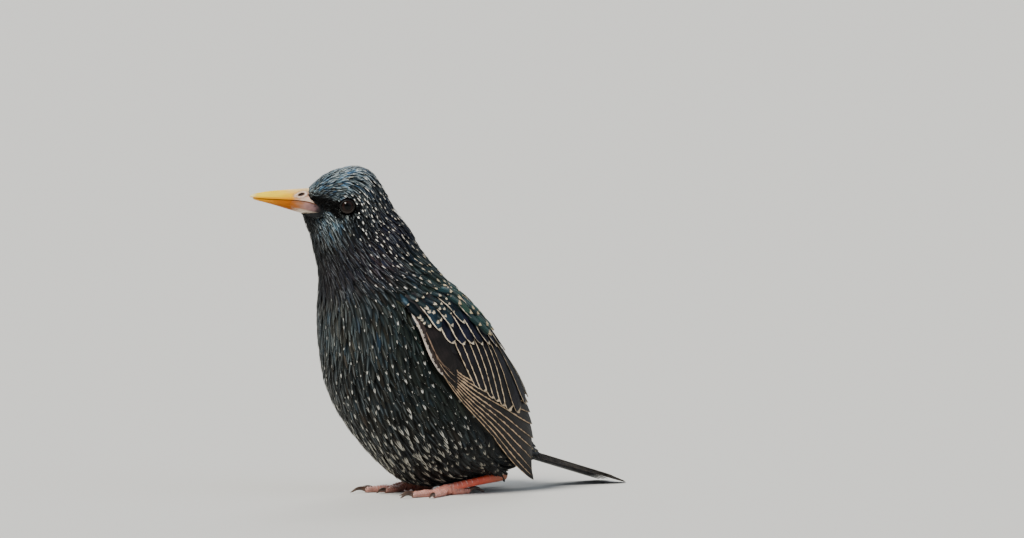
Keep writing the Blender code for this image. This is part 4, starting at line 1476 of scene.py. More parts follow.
# %% [markdown]
# ### Flight feathers
# They are the same lens with more faces: the shaft is a fine ridge nearer the outer edge, the vane
# sags on both sides of it, and here and there the barbs have parted and left a nick in its edge.


# %% Lay a tier of flight feathers
def flight_template():
    """A fine lens whose middle column is the shaft, nearer the outer edge."""
    template = vane_template(24, 8)
    columns = np.linspace(-1, 1, 9)
    moved = [-1.0, -0.82, -0.45, -0.27, -0.2, -0.13, 0.2, 0.65, 1.0]
    template["shaft"] = np.abs(template["b"]) < 0.01
    template["b"] = np.interp(template["b"], columns, moved)
    return template


flight_vane = flight_template()
VANE_THICKNESS = 0.12
SHAFT_HEIGHT = 0.14


def flight_width(u, tip_begins, pointed):
    """A flight feather's width as a share of its full width."""
    rise = 0.6 + 0.4 * smooth(u / 0.3)
    x = np.clip((u - tip_begins) / (1 - tip_begins), 0, 1)
    return rise * np.maximum(mix(np.sqrt(1 - x**2.6 + 1e-9), 1 - x**1.8, pointed), 0.06)


def nicks(shape, u, b, draw):
    """How far each point of a vane's rim is drawn in where the barbs have parted."""
    found = np.zeros(shape)
    for row in range(shape[0]):
        for _ in range(draw.integers(1, 4)):
            place, side = draw.uniform(0.45, 0.95), draw.choice((-1.0, 1.0), p=(0.3, 0.7))
            near = np.exp(-(((u[row] - place) / 0.012) ** 2)) * (b[row] * side > 0.99)
            found[row] += draw.uniform(0.06, 0.2) * near
    return np.clip(found, 0, 0.6)


def wing_breadth(s):
    """The wing's breadth over its curve, in millimetres."""
    t = np.linspace(0, 1, 9)
    points = on_wing(s[..., None] + 0 * t, t + 0 * s[..., None], 0.0)
    return np.sum(length_of(np.diff(points, axis=-2)), axis=(-2, -1))


def tier_points(tier, draw):
    """Points of one tier's feathers, in millimetres on the left wing."""
    count = tier["count"]
    share = np.arange(count)[:, None] / (count - 1)
    pick = {key: mix(*tier[key], share) for key in ("start", "end", "root_edge", "tip_edge")}
    shape = (count, len(flight_vane["a"]))
    u = 1 - (1 - flight_vane["a"][None, :]) ** 1.3 + np.zeros(shape)
    b = flight_vane["b"][None, :] + np.zeros(shape)
    end = pick["end"] + draw.uniform(-0.006, 0.006, (count, 1))
    s = mix(pick["start"], end, u)
    outside = mix(pick["root_edge"], pick["tip_edge"], u ** tier["late"])
    across = mix(*tier["width"], share) / wing_breadth(s)
    inside = np.maximum(outside - across, -0.03)
    v = 0.5 + 0.5 * b
    shaft = mix(outside, inside, 0.4)
    width = flight_width(u, *tier["tip"]) * (1 - nicks(shape, u, b, draw))
    t = mix(shaft, mix(outside, inside, v), width)
    root = core_top(pick["start"], t) - ROOT_SINKS
    height = mix(root, mix(*tier["lift"], share), smooth(u / 0.55)) + VANE_TILT * (0.5 - v)
    height = height - 0.25 * (v - 0.4) ** 2 + draw.uniform(-0.02, 0.02, (count, 1))
    ridge = SHAFT_HEIGHT * (1 - 0.75 * u) * flight_vane["shaft"] * (flight_vane["c"] > 0)
    return on_wing(s, t, height + 0.5 * VANE_THICKNESS * flight_vane["c"] + ridge)


# %% [markdown]
# ### Finish of flight feathers
# They are brown-black keratin with less gloss than the coat. What reads from a step away is the
# pale line along each outer edge, so the material finds that edge from the feather's own places
# across and along it, and the line follows every curve of the vane.

# %% Flight feather material
FLIGHT_BARBS = 0.3


def flight_material():
    """Flight feathers: brown-black keratin with buff edges, slanting barbs and a smooth shaft."""
    made, tree, shader = new_material("flight_feather", Specular_IOR_Level=0.2)
    shader.inputs["IOR"].default_value = 1.55
    lay = node(tree, "ShaderNodeAttribute", {"attribute_name": "lay"}).outputs["Vector"]
    mark = node(tree, "ShaderNodeAttribute", {"attribute_name": "mark"}).outputs["Vector"]
    ground = node(tree, "ShaderNodeAttribute", {"attribute_name": "gloss"}).outputs["Color"]
    pale = node(tree, "ShaderNodeAttribute", {"attribute_name": "pale"}).outputs["Color"]
    lay_parts = node(tree, "ShaderNodeSeparateXYZ", {}, {0: lay})
    a, b, seed = (lay_parts.outputs[i] for i in range(3))
    mark_parts = node(tree, "ShaderNodeSeparateXYZ", {}, {0: mark})
    edge_width, tip_size, metal = (mark_parts.outputs[i] for i in range(3))
    strands = strand_noise(tree, a, b, seed)
    # The outer edge, where b is -1
    from_edge = node(tree, "ShaderNodeMath", {"operation": "ADD"}, {0: b, 1: 1.0}).outputs[0]
    worn = node(
        tree,
        "ShaderNodeTexNoise",
        {},
        {"Vector": node(tree, "ShaderNodeTexCoord").outputs["Object"], "Scale": 420.0, "Detail": 3.0},
    ).outputs[0]
    uneven = node(
        tree,
        "ShaderNodeMapRange",
        {},
        {"Value": worn, "From Min": 0.3, "From Max": 0.7, "To Min": 0.45, "To Max": 1.5},
    ).outputs[0]
    wide = node(
        tree, "ShaderNodeMath", {"operation": "MULTIPLY"}, {0: edge_width, 1: uneven}
    ).outputs[0]
    edge_share = node(
        tree, "ShaderNodeMath", {"operation": "DIVIDE"}, {0: from_edge, 1: wide}
    ).outputs[0]
    edge = node(
        tree,
        "ShaderNodeMapRange",
        {"interpolation_type": "SMOOTHSTEP"},
        {"Value": edge_share, "From Min": 1.15, "From Max": 0.75},
    ).outputs[0]
    # The pale tip reaches further back on the outer side, as a slanting triangle
    from_tip = node(tree, "ShaderNodeMath", {"operation": "SUBTRACT"}, {0: 1.0, 1: a}).outputs[0]
    slant = node(
        tree, "ShaderNodeMapRange", {}, {"Value": b, "From Min": -1.0, "To Min": 1.3, "To Max": 0.8}
    ).outputs[0]
    reach = node(
        tree, "ShaderNodeMath", {"operation": "MULTIPLY_ADD"}, {0: slant, 1: tip_size, 2: 0.0001}
    ).outputs[0]
    tip_share = node(
        tree, "ShaderNodeMath", {"operation": "DIVIDE"}, {0: from_tip, 1: reach}
    ).outputs[0]
    tip = node(
        tree,
        "ShaderNodeMapRange",
        {"interpolation_type": "SMOOTHSTEP"},
        {"Value": tip_share, "From Min": 1.2, "From Max": 0.8},
    ).outputs[0]
    both = node(tree, "ShaderNodeMath", {"operation": "MAXIMUM"}, {0: edge, 1: tip}).outputs[0]
    wear = node(
        tree,
        "ShaderNodeMapRange",
        {},
        {"Value": worn, "From Min": 0.3, "From Max": 0.55, "To Min": 0.5, "To Max": 1.0},
    ).outputs[0]
    mask = node(tree, "ShaderNodeMath", {"operation": "MULTIPLY"}, {0: both, 1: wear}).outputs[0]
    shade = node(
        tree, "ShaderNodeMapRange", {}, {"Value": seed, "To Min": 0.7, "To Max": 1.4}
    ).outputs[0]
    # Painted sheen: soft blotches brighten and darken the dark ground, standing in for patches of
    # iridescent sheen
    sheen = node(
        tree,
        "ShaderNodeTexNoise",
        {},
        {"Vector": node(tree, "ShaderNodeTexCoord").outputs["Object"], "Scale": 230.0},
    ).outputs[0]
    patch = node(
        tree,
        "ShaderNodeMapRange",
        {},
        {"Value": sheen, "From Min": 0.38, "From Max": 0.66, "To Min": 0.5, "To Max": 2.2},
    ).outputs[0]
    shade = node(tree, "ShaderNodeMath", {"operation": "MULTIPLY"}, {0: shade, 1: patch}).outputs[0]
    dark = node(
        tree, "ShaderNodeVectorMath", {"operation": "SCALE"}, {0: ground, "Scale": shade}
    ).outputs[0]
    base = node(
        tree, "ShaderNodeMix", {"data_type": "RGBA"}, {"Factor": mask, 6: dark, 7: pale}
    ).outputs[2]
    bare_metal = node(tree, "ShaderNodeMath", {"operation": "SUBTRACT"}, {0: 1.0, 1: mask}).outputs[0]
    shine = node(
        tree, "ShaderNodeMath", {"operation": "MULTIPLY"}, {0: bare_metal, 1: metal}
    ).outputs[0]
    rough = node(
        tree, "ShaderNodeMapRange", {}, {"Value": mask, "To Min": 0.5, "To Max": 0.75}
    ).outputs[0]
    tree.links.new(base, shader.inputs["Base Color"])
    tree.links.new(shine, shader.inputs["Metallic"])
    tree.links.new(rough, shader.inputs["Roughness"])
    tree.links.new(barb_bump(tree, a, b, strands, FLIGHT_BARBS), shader.inputs["Normal"])
    return made


flight_finish = flight_material()

# %% Make the flight feathers of both wings
draw = np.random.default_rng(11)
flight_points, flight_marks, flight_ground, flight_pale = [], [], [], []
for tier in WING_TIERS.values():
    placed = tier_points(tier, draw)
    ground, pale, line, tip_size, metal = tier["look"]
    line_share = 2 * line / sum(tier["width"]) * 2
    flight_points.append(placed)
    flight_marks += [(line_share, tip_size, metal)] * len(placed)
    flight_ground += [colour(ground)] * len(placed)
    flight_pale += [colour(pale)] * len(placed)
flight_points = np.concatenate(flight_points)
flight_count = len(flight_points)
flight_seed = draw.uniform(0, 1, flight_count)


def flight_values(marks, ground, pale, seed):
    """The arrays that the flight feathers' material reads."""
    values = feather_values(flight_vane, np.array(marks), np.array(ground), np.array(pale), seed)
    values["lay"][..., 0] = 1 - (1 - flight_vane["a"][None, :]) ** 1.3
    return values


def strip_places(count):
    """A patch for each of a few large feathers, side by side."""
    share = (np.arange(count) + 0.5) / count
    return np.stack([share, 0 * share + 0.5], axis=-1)


wing_marks = (flight_marks, flight_ground, flight_pale, flight_seed)
for side_name, side in (("left", 1), ("right", -1)):
    feathers = copies_mesh(
        f"flight_feathers_{side_name}",
        flight_points * (1, side, 1),
        flight_vane,
        flight_finish,
        flight_values(*wing_marks),
        strip_places(flight_count),
    )
    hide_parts(f"wing_{side_name}")
print("flight feathers and coverts a wing:", flight_count)

# %% [markdown]
# ### Flesh and small coverts of the wing
# Under the flight feathers lies the wing's own flesh, and over its shoulder the smallest coverts
# and the scapulars, which are contour feathers again, and are scattered and laid like the coat.

# %% Wing flesh, lesser coverts and scapulars
SMALL_COVERTS = {
    "lesser_coverts": {
        "low": (-0.03, 0.0),
        "high": (0.15, 1.0),
        "spacing": 2.5,
        "length": 6.5,
        "width": 2.9,
        "tip_lift": 1.3,
        "least_root": -9.0,
        "spot": 1.0,
        "gloss": "#0F2227",
        "pale": "#D8CBB2",
    },
    "scapulars": {
        "low": (-0.05, -0.03),
        "high": (0.31, 0.42),
        "spacing": 3.4,
        "length": 13.0,
        "width": 4.8,
        "tip_lift": 1.9,
        "least_root": -0.1,
        "spot": 1.5,
        "gloss": "#1C3D3A",
        "pale": "#D3C09A",
    },
}


def wing_coat(kind, draw):
    """Contour feathers over a part of the left wing, with the arrays for their material."""

    def spacing(s, t):
        return np.full_like(s, kind["spacing"])

    s, t = scatter(on_wing, kind["low"], kind["high"], spacing, 9000, draw)
    count = len(s)
    length = kind["length"] * draw.uniform(0.85, 1.12, count)
    size = {
        "length": length,
        "width": kind["width"] * draw.uniform(0.9, 1.1, count),
        "turn": draw.normal(0.0, 0.08, count),
        "bend": draw.normal(0.0, 0.03, count),
        "root_lift": np.maximum(core_top(np.maximum(s, 0), t) - ROOT_SINKS - 0.1, kind["least_root"]),
        "tip_lift": kind["tip_lift"] * draw.uniform(0.85, 1.1, count),
        "pointed": np.full(count, 0.25),
        "thickness": np.full(count, 0.2),
    }
    points = laid_feathers(on_wing, s, t, size, fine_vane, draw)
    spot = kind["spot"] * draw.uniform(0.6, 1.3, count) / length
    # The third mark is the strength of the painted glint along the shaft
    mark = np.stack([spot, draw.uniform(0, 0.3, count), draw.uniform(0, 0.12, count)], axis=-1)
    hue = draw.normal(0.0, 1.0, count)[:, None]
    light = np.exp(draw.normal(0.0, 0.35, count))[:, None]
    gloss = np.array(colour(kind["gloss"])) * np.exp(hue * (0.3, 0.1, -0.05)) * light
    pale = np.array(colour(kind["pale"])) * draw.uniform(0.8, 1.05, (count, 1))
    values = feather_values(fine_vane, mark, gloss, pale, draw.uniform(0, 1, count))
    places = np.stack([0.02 + 0.96 * np.clip(t, 0, 1), 0.02 + 4.0 * np.clip(s, 0, 0.24)], axis=-1)
    return points, values, places


for kind_name, kind in SMALL_COVERTS.items():
    points, values, places = wing_coat(kind, draw)
    for side_name, side in (("left", 1), ("right", -1)):
        copies_mesh(
            f"{kind_name}_{side_name}",
            points * (1, side, 1),
            fine_vane,
            coat_finish,
            values,
            places,
        )
    print(kind_name, "a wing:", len(points))


def wing_flesh_material():
    """Dark skin and down under the wing's feathers, seen only in the gaps."""
    made, tree, shader = new_material("wing_down", Base_Color=paint("#121014"), Roughness=0.8)
    place = node(tree, "ShaderNodeTexCoord").outputs["Object"]
    grain = node(tree, "ShaderNodeTexNoise", {}, {"Vector": place, "Scale": 900.0})
    bump = node(
        tree,
        "ShaderNodeBump",
        {},
        {"Height": grain.outputs[0], "Strength": 0.4, "Distance": 0.0003},
    )
    tree.links.new(bump.outputs[0], shader.inputs["Normal"])
    return made


down_finish = wing_flesh_material()
for side_name, surface in (("left", wing_core), ("right", mirrored(lambda u, v, lift: wing_core(u, v)))):
    object_from(f"wing_flesh_{side_name}", bent_grid(surface, 30, 40), down_finish)

# %% [markdown]
# ## Tail
# Twelve feathers lie one over the other, the middle pair on top. They rest on the floor here, since
# the bird sits low.

# %% Tail feathers
TAIL_ROOT = (40.0, 17.0)
TAIL_TIP = (99.0, -0.35)
TAIL_HALF_WIDTHS = (6.0, 12.5)
TAIL_A_SIDE = 6
TAIL_STEP = 0.4
TAIL_NOTCH = 0.05


def on_tail(u, v, lift):
    """Points of the tail: u from root to tip, v from its left to its right edge."""
    across = 2 * v - 1
    half = mix(*TAIL_HALF_WIDTHS, u)
    height = mix(TAIL_ROOT[1], TAIL_TIP[1], u) + lift - 1.2 * across * across * (1 - u)
    return stacked(mix(TAIL_ROOT[0], TAIL_TIP[0], u), half * across, height)


def tail_points(draw):
    """The tail's feathers, from the outermost pair, which lies lowest, to the middle pair."""
    made = []
    u = 1 - (1 - flight_vane["a"]) ** 1.3
    for k in reversed(range(TAIL_A_SIDE)):
        for side in (-1, 1):
            middle = side * (k + 0.35) / TAIL_A_SIDE
            width = 1.15 / TAIL_A_SIDE * (2.4 if k == 0 else 2.0)
            reach = 1 - TAIL_NOTCH * (1 - k / 4) if k < 4 else 1 - 0.02 * (k - 3)
            height = TAIL_STEP * (TAIL_A_SIDE - 1 - k) + (0.12 if side > 0 else 0)
            b = flight_vane["b"] * side
            cut = nicks((1, len(u)), u[None, :], flight_vane["b"][None, :], draw)[0]
            across = middle * 0.82 + 0.5 * width * b * -1 * flight_width(u, 0.82, 0.1) * (1 - cut)
            ridge = SHAFT_HEIGHT * (1 - 0.75 * u) * flight_vane["shaft"] * (flight_vane["c"] > 0)
            lift = height + 0.5 * VANE_THICKNESS * flight_vane["c"] + ridge
            made.append(on_tail(mix(0.08, reach, u), 0.5 + 0.5 * across, lift))
    return np.array(made)


tail_vanes = tail_points(draw)
tail_vanes[..., 2] = np.maximum(tail_vanes[..., 2], 0.05)
tail_count = len(tail_vanes)
tail_marks = (
    [(0.07, 0.012, 0.2)] * tail_count,
    [colour("#18161A")] * tail_count,
    [colour("#8E7D68")] * tail_count,
    draw.uniform(0, 1, tail_count),
)
tail = copies_mesh(
    "tail_feathers",
    tail_vanes,
    flight_vane,
    flight_finish,
    flight_values(*tail_marks),
    strip_places(tail_count),
)
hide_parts("tail")
print("tail feathers:", tail_count)

# %% [markdown]
# ## Bill
# The bill is bone with a sheath of horn, yellow in spring and lilac grey at its root. Each half is
# a tube through the frame's own stations, rounded away from the mouth line. The nostril is a real
# hollow, with the pale flap that starlings have over it.

# %% The bill's shape
UPPER_BILL = [
    (43.4, 2.2, 1.5, 0.5),
    (41.0, 2.95, 1.1, 1.1),
    (36.0, 3.8, 0.7, 1.8),
    (30.0, 4.3, 0.4, 2.4),
    (24.0, 4.75, 0.1, 3.0),
    (19.0, 5.0, -0.7, 4.4),
    (15.0, 4.6, -2.1, 6.6),
]
LOWER_BILL = [
    (42.2, 0.95, 0.45, 0.5),
    (38.0, 0.45, -0.6, 1.2),
    (33.0, 0.2, -2.0, 1.9),
    (27.7, -0.05, -3.6, 2.5),
    (22.7, -0.5, -5.1, 3.5),
    (18.5, -1.1, -6.3, 5.0),
    (14.5, -2.5, -7.0, 7.0),
]
UPPER_ROUNDNESS = 0.85
LOWER_ROUNDNESS = 0.6
# The plain model leaves the halves of the bill apart by this much more
MOUTH_CLOSES = 0.27
NOSTRIL_AT = (22.2, 2.5)
NOSTRIL_SIZE = (1.35, 0.62)
NOSTRIL_SLANT = 0.22


def bill_places(stations, u, v, upper):
    """Places f, side and g over one half of the bill, and how far they are from the mouth line."""
    f, top, bottom, half = np.moveaxis(spline(stations, u), -1, 0)
    outer, inner = (top, bottom) if upper else (bottom, top + MOUTH_CLOSES)
    blunt = np.sqrt(1 - (1 - np.clip(u / 0.05, 0, 1)) ** 2 + 0.02)
    turn = 2 * math.pi * v
    rise = np.maximum(np.sin(turn), 0.0) ** (UPPER_ROUNDNESS if upper else LOWER_ROUNDNESS)
    # The biting edge is thin and hangs a little past the flat of the mouth
    rise = rise - 0.12 * np.minimum(np.sin(turn), 0.0)
    side = half * blunt * np.cos(turn)
    g = mix(mix(inner, 0.5 * (inner + outer), 1 - blunt), outer, rise * blunt)
    if upper:
        along, up = f - NOSTRIL_AT[0], g - NOSTRIL_AT[1]
        off = np.hypot(along / NOSTRIL_SIZE[0], (up + NOSTRIL_SLANT * along) / NOSTRIL_SIZE[1])
        hollow = -0.8 * smooth((1.05 - off) / 0.35) + 0.3 * np.exp(-(((off - 1.7) / 0.45) ** 2))
        side = side + np.sign(side) * hollow * (np.abs(side) > 0.8)
    return f, side, g, rise


def bill_half(name, stations, upper, finish):
    """One half of the bill, with its own places kept on its points for the material."""
    read = {}

    def surface(u, v):
        f, side, g, rise = bill_places(stations, u, v, upper)
        points = head_point(f, side, g)
        for point, place in zip(to_frame(points), stacked(f, rise, g)):
            read[Vector(point).to_tuple(6)] = place
        return points

    bm = bent_grid(surface, 150, 64)
    obj = object_from(name, bm, finish)
    obj.data.set_sharp_from_angle(angle=math.radians(70))
    places = [read.get(vert.co.to_tuple(6), (15.0, 0.5, 0.0)) for vert in obj.data.vertices]
    point_values(obj.data, "place", places)
    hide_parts(name)
    return obj


# %% Bill material
UPPER_TINTS = [
    (0.0, "#6E5750"),
    (0.18, "#B08874"),
    (0.3, "#D49C48"),
    (0.42, "#FAC000"),
    (0.55, "#FFD200"),
    (0.82, "#FFDA00"),
    (0.9, "#F3CF45"),
    (0.96, "#E3E3B0"),
]
LOWER_TINTS = [
    (0.0, "#141011"),
    (0.06, "#33282B"),
    (0.13, "#775D5E"),
    (0.22, "#9A746C"),
    (0.3, "#9C6A4C"),
    (0.42, "#A25600"),
    (0.62, "#B46600"),
    (0.84, "#E29600"),
    (0.93, "#F2C860"),
    (0.98, "#DFE0B4"),
]


def soft_step(tree, value, low, high, least=0.0, most=1.0):
    """A soft step of a value between two places, for masks."""
    return node(
        tree,
        "ShaderNodeMapRange",
        {"interpolation_type": "SMOOTHSTEP"},
        {"Value": value, "From Min": low, "From Max": high, "To Min": least, "To Max": most},
    ).outputs[0]


def mixed(tree, mask, under, over):
    """A colour laid over another by a mask."""
    return node(
        tree, "ShaderNodeMix", {"data_type": "RGBA"}, {"Factor": mask, 6: under, 7: over}
    ).outputs[2]


def bill_material(upper):
    """Horn: a waxy, slightly see-through sheath, polished by use, with fine lengthwise grain."""
    name = "upper_bill_horn" if upper else "lower_bill_horn"
    made, tree, shader = new_material(name, Specular_IOR_Level=0.14)
    shader.inputs["IOR"].default_value = 1.54
    place = node(tree, "ShaderNodeAttribute", {"attribute_name": "place"}).outputs["Vector"]
    parts = node(tree, "ShaderNodeSeparateXYZ", {}, {0: place})
    f, rise, g = (parts.outputs[i] for i in range(3))
    cloud = node(tree, "ShaderNodeTexNoise", {}, {"Vector": place, "Scale": 0.5, "Detail": 4.0})
    shift = node(
        tree,
        "ShaderNodeMapRange",
        {},
        {"Value": cloud.outputs[0], "From Min": 0.3, "From Max": 0.7, "To Min": -1.2, "To Max": 1.2},
    ).outputs[0]
    along = node(tree, "ShaderNodeMath", {"operation": "ADD"}, {0: f, 1: shift}).outputs[0]
    share = node(
        tree, "ShaderNodeMapRange", {}, {"Value": along, "From Min": 14.0, "From Max": 44.0}
    ).outputs[0]
    near_root = soft_step(tree, along, 27.0 if upper else 26.5, 22.0)
    if upper:
        tint = ramp(tree, share, UPPER_TINTS)
        # Creamy ridge towards the root, orange biting edge, pale wedge back to the gape
        ridge = soft_step(tree, rise, 0.5, 0.95)
        root_ridge = soft_step(tree, along, 33.0, 24.0, 0.0, 0.65)
        mask = node(tree, "ShaderNodeMath", {"operation": "MULTIPLY"}, {0: ridge, 1: root_ridge})
        tint = mixed(tree, mask.outputs[0], tint, paint("#F8DC98"))
        tint = mixed(tree, soft_step(tree, rise, 0.38, 0.12, 0.0, 0.8), tint, paint("#E08A00"))
        edge = soft_step(tree, rise, 0.5, 0.25)
        mask = node(tree, "ShaderNodeMath", {"operation": "MULTIPLY"}, {0: edge, 1: near_root})
        tint = mixed(tree, mask.outputs[0], tint, paint("#DCC0AE"))
        tint = nostril_colours(tree, f, g, tint)
    else:
        tint = ramp(tree, share, LOWER_TINTS)
        rim = soft_step(tree, rise, 0.55, 0.8)
        mask = node(tree, "ShaderNodeMath", {"operation": "MULTIPLY"}, {0: rim, 1: near_root})
        tint = mixed(tree, mask.outputs[0], tint, paint("#E8D6C2"))
    # Painted shade: the flat edges that meet at the mouth line are darkened to a dark brown
    tint = mixed(tree, soft_step(tree, rise, 0.07, 0.01), tint, paint("#5E3208"))
    streak_place = node(
        tree, "ShaderNodeMapping", {}, {"Vector": place, "Scale": (0.12, 9.0, 3.0)}
    ).outputs[0]
    streaks = node(
        tree, "ShaderNodeTexNoise", {}, {"Vector": streak_place, "Scale": 1.0, "Detail": 6.0}
    ).outputs[0]
    wear = node(
        tree,
        "ShaderNodeMapRange",
        {},
        {"Value": streaks, "From Min": 0.35, "From Max": 0.65, "To Min": 0.82, "To Max": 1.04},
    ).outputs[0]
    worn = node(
        tree, "ShaderNodeVectorMath", {"operation": "SCALE"}, {0: tint, "Scale": wear}
    ).outputs[0]
    rough = node(
        tree, "ShaderNodeMapRange", {}, {"Value": streaks, "To Min": 0.26, "To Max": 0.46}
    ).outputs[0]
    bump = node(
        tree, "ShaderNodeBump", {}, {"Height": streaks, "Strength": 0.3, "Distance": 0.0001}
    )
    tree.links.new(worn, shader.inputs["Base Color"])
    tree.links.new(rough, shader.inputs["Roughness"])
    tree.links.new(bump.outputs[0], shader.inputs["Normal"])
    return made


def nostril_colours(tree, f, g, tint):
    """Paints shade into the hollow of the nostril and pales the flap round it."""
    along = node(tree, "ShaderNodeMath", {"operation": "SUBTRACT"}, {0: f, 1: NOSTRIL_AT[0]})
    up = node(tree, "ShaderNodeMath", {"operation": "SUBTRACT"}, {0: g, 1: NOSTRIL_AT[1]})
    up = node(
        tree,
        "ShaderNodeMath",
        {"operation": "MULTIPLY_ADD"},
        {0: along.outputs[0], 1: NOSTRIL_SLANT, 2: up.outputs[0]},
    )
    along = node(
        tree, "ShaderNodeMath", {"operation": "DIVIDE"}, {0: along.outputs[0], 1: NOSTRIL_SIZE[0]}
    )
    up = node(tree, "ShaderNodeMath", {"operation": "DIVIDE"}, {0: up.outputs[0], 1: NOSTRIL_SIZE[1]})
    both = node(tree, "ShaderNodeCombineXYZ", {}, {0: along.outputs[0], 1: up.outputs[0]})
    off = node(tree, "ShaderNodeVectorMath", {"operation": "LENGTH"}, {0: both.outputs[0]})
    off = off.outputs["Value"]
    uneven = node(tree, "ShaderNodeTexNoise", {}, {"Vector": both.outputs[0], "Scale": 1.1})
    flap = node(
        tree, "ShaderNodeMath", {"operation": "MULTIPLY_ADD"}, {0: uneven.outputs[0], 1: 3.0, 2: -1.5}
    )
    flap = node(tree, "ShaderNodeMath", {"operation": "ADD"}, {0: flap.outputs[0], 1: off}).outputs[0]
    shaded = mixed(tree, soft_step(tree, flap, 3.2, 2.2, 0.0, 0.45), tint, paint("#937468"))
    ringed = mixed(tree, soft_step(tree, flap, 2.1, 1.6, 0.0, 0.9), shaded, paint("#E0C9B8"))
    # Painted shade in the nostril's hollow, darkest at its middle
    hollow = mixed(tree, soft_step(tree, off, 1.35, 0.9), ringed, paint("#6B554B"))
    return mixed(tree, soft_step(tree, off, 0.95, 0.4), hollow, paint("#241A16"))


upper_bill = bill_half("bill_upper", UPPER_BILL, True, bill_material(True))
lower_bill = bill_half("bill_lower", LOWER_BILL, False, bill_material(False))
print("bill faces:", len(upper_bill.data.polygons) + len(lower_bill.data.polygons))

# %% [markdown]
# ## Eyes and lids
# Each eye is a ball that swells a little at the cornea, almost black brown, with a wet coat over
# it. The lid is a ring of bare skin that holds it, thin above and a little fuller below.

# %% Eyes
HEAD_AHEAD = head_point(1.0, 0.0, 0.0) - head_point(0.0, 0.0, 0.0)
EYE_OPENING = 2.6


def eye_material():
    """A wet eye: dark brown iris round a black pupil, under a clear, perfectly smooth film."""
    made, tree, shader = new_material("wet_eye", Roughness=0.3, Coat_Weight=0.3, Coat_Roughness=0.01)
    shader.inputs["Specular IOR Level"].default_value = 0.02
    shader.inputs["IOR"].default_value = 1.38
    off = node(tree, "ShaderNodeAttribute", {"attribute_name": "place"}).outputs["Vector"]
    parts = node(tree, "ShaderNodeSeparateXYZ", {}, {0: off})
    fibres = node(tree, "ShaderNodeTexNoise", {}, {"Vector": off, "Scale": 3.0, "Detail": 5.0})
    wobble = node(
        tree, "ShaderNodeMath", {"operation": "MULTIPLY_ADD"}, {0: fibres.outputs[0], 1: 0.12, 2: -0.06}
    )
    radius = node(
        tree, "ShaderNodeMath", {"operation": "ADD"}, {0: parts.outputs[0], 1: wobble.outputs[0]}
    )
    tint = ramp(
        tree,
        radius.outputs[0],
        [(0.0, "#020202"), (0.3, "#020202"), (0.37, "#180B07"), (0.5, "#1E0F09"), (0.6, "#050303")],
    )
    tree.links.new(tint, shader.inputs["Base Color"])
    return made


def lid_material():
    """Bare lid skin: thin, dark and finely creased, paler along the lower rim."""
    made, tree, shader = new_material("eyelid_skin", Roughness=0.5, Specular_IOR_Level=0.2)
    place = node(tree, "ShaderNodeAttribute", {"attribute_name": "place"}).outputs["Vector"]
    parts = node(tree, "ShaderNodeSeparateXYZ", {}, {0: place})
    tint = ramp(tree, parts.outputs[2], [(0.1, "#241E1A"), (0.35, "#12100E"), (0.8, "#070606")])
    grain = node(tree, "ShaderNodeTexNoise", {}, {"Vector": place, "Scale": 9.0, "Detail": 4.0})
    bump = node(
        tree,
        "ShaderNodeBump",
        {},
        {"Height": grain.outputs[0], "Strength": 0.5, "Distance": 0.0001},
    )
    tree.links.new(tint, shader.inputs["Base Color"])
    tree.links.new(bump.outputs[0], shader.inputs["Normal"])
    return made


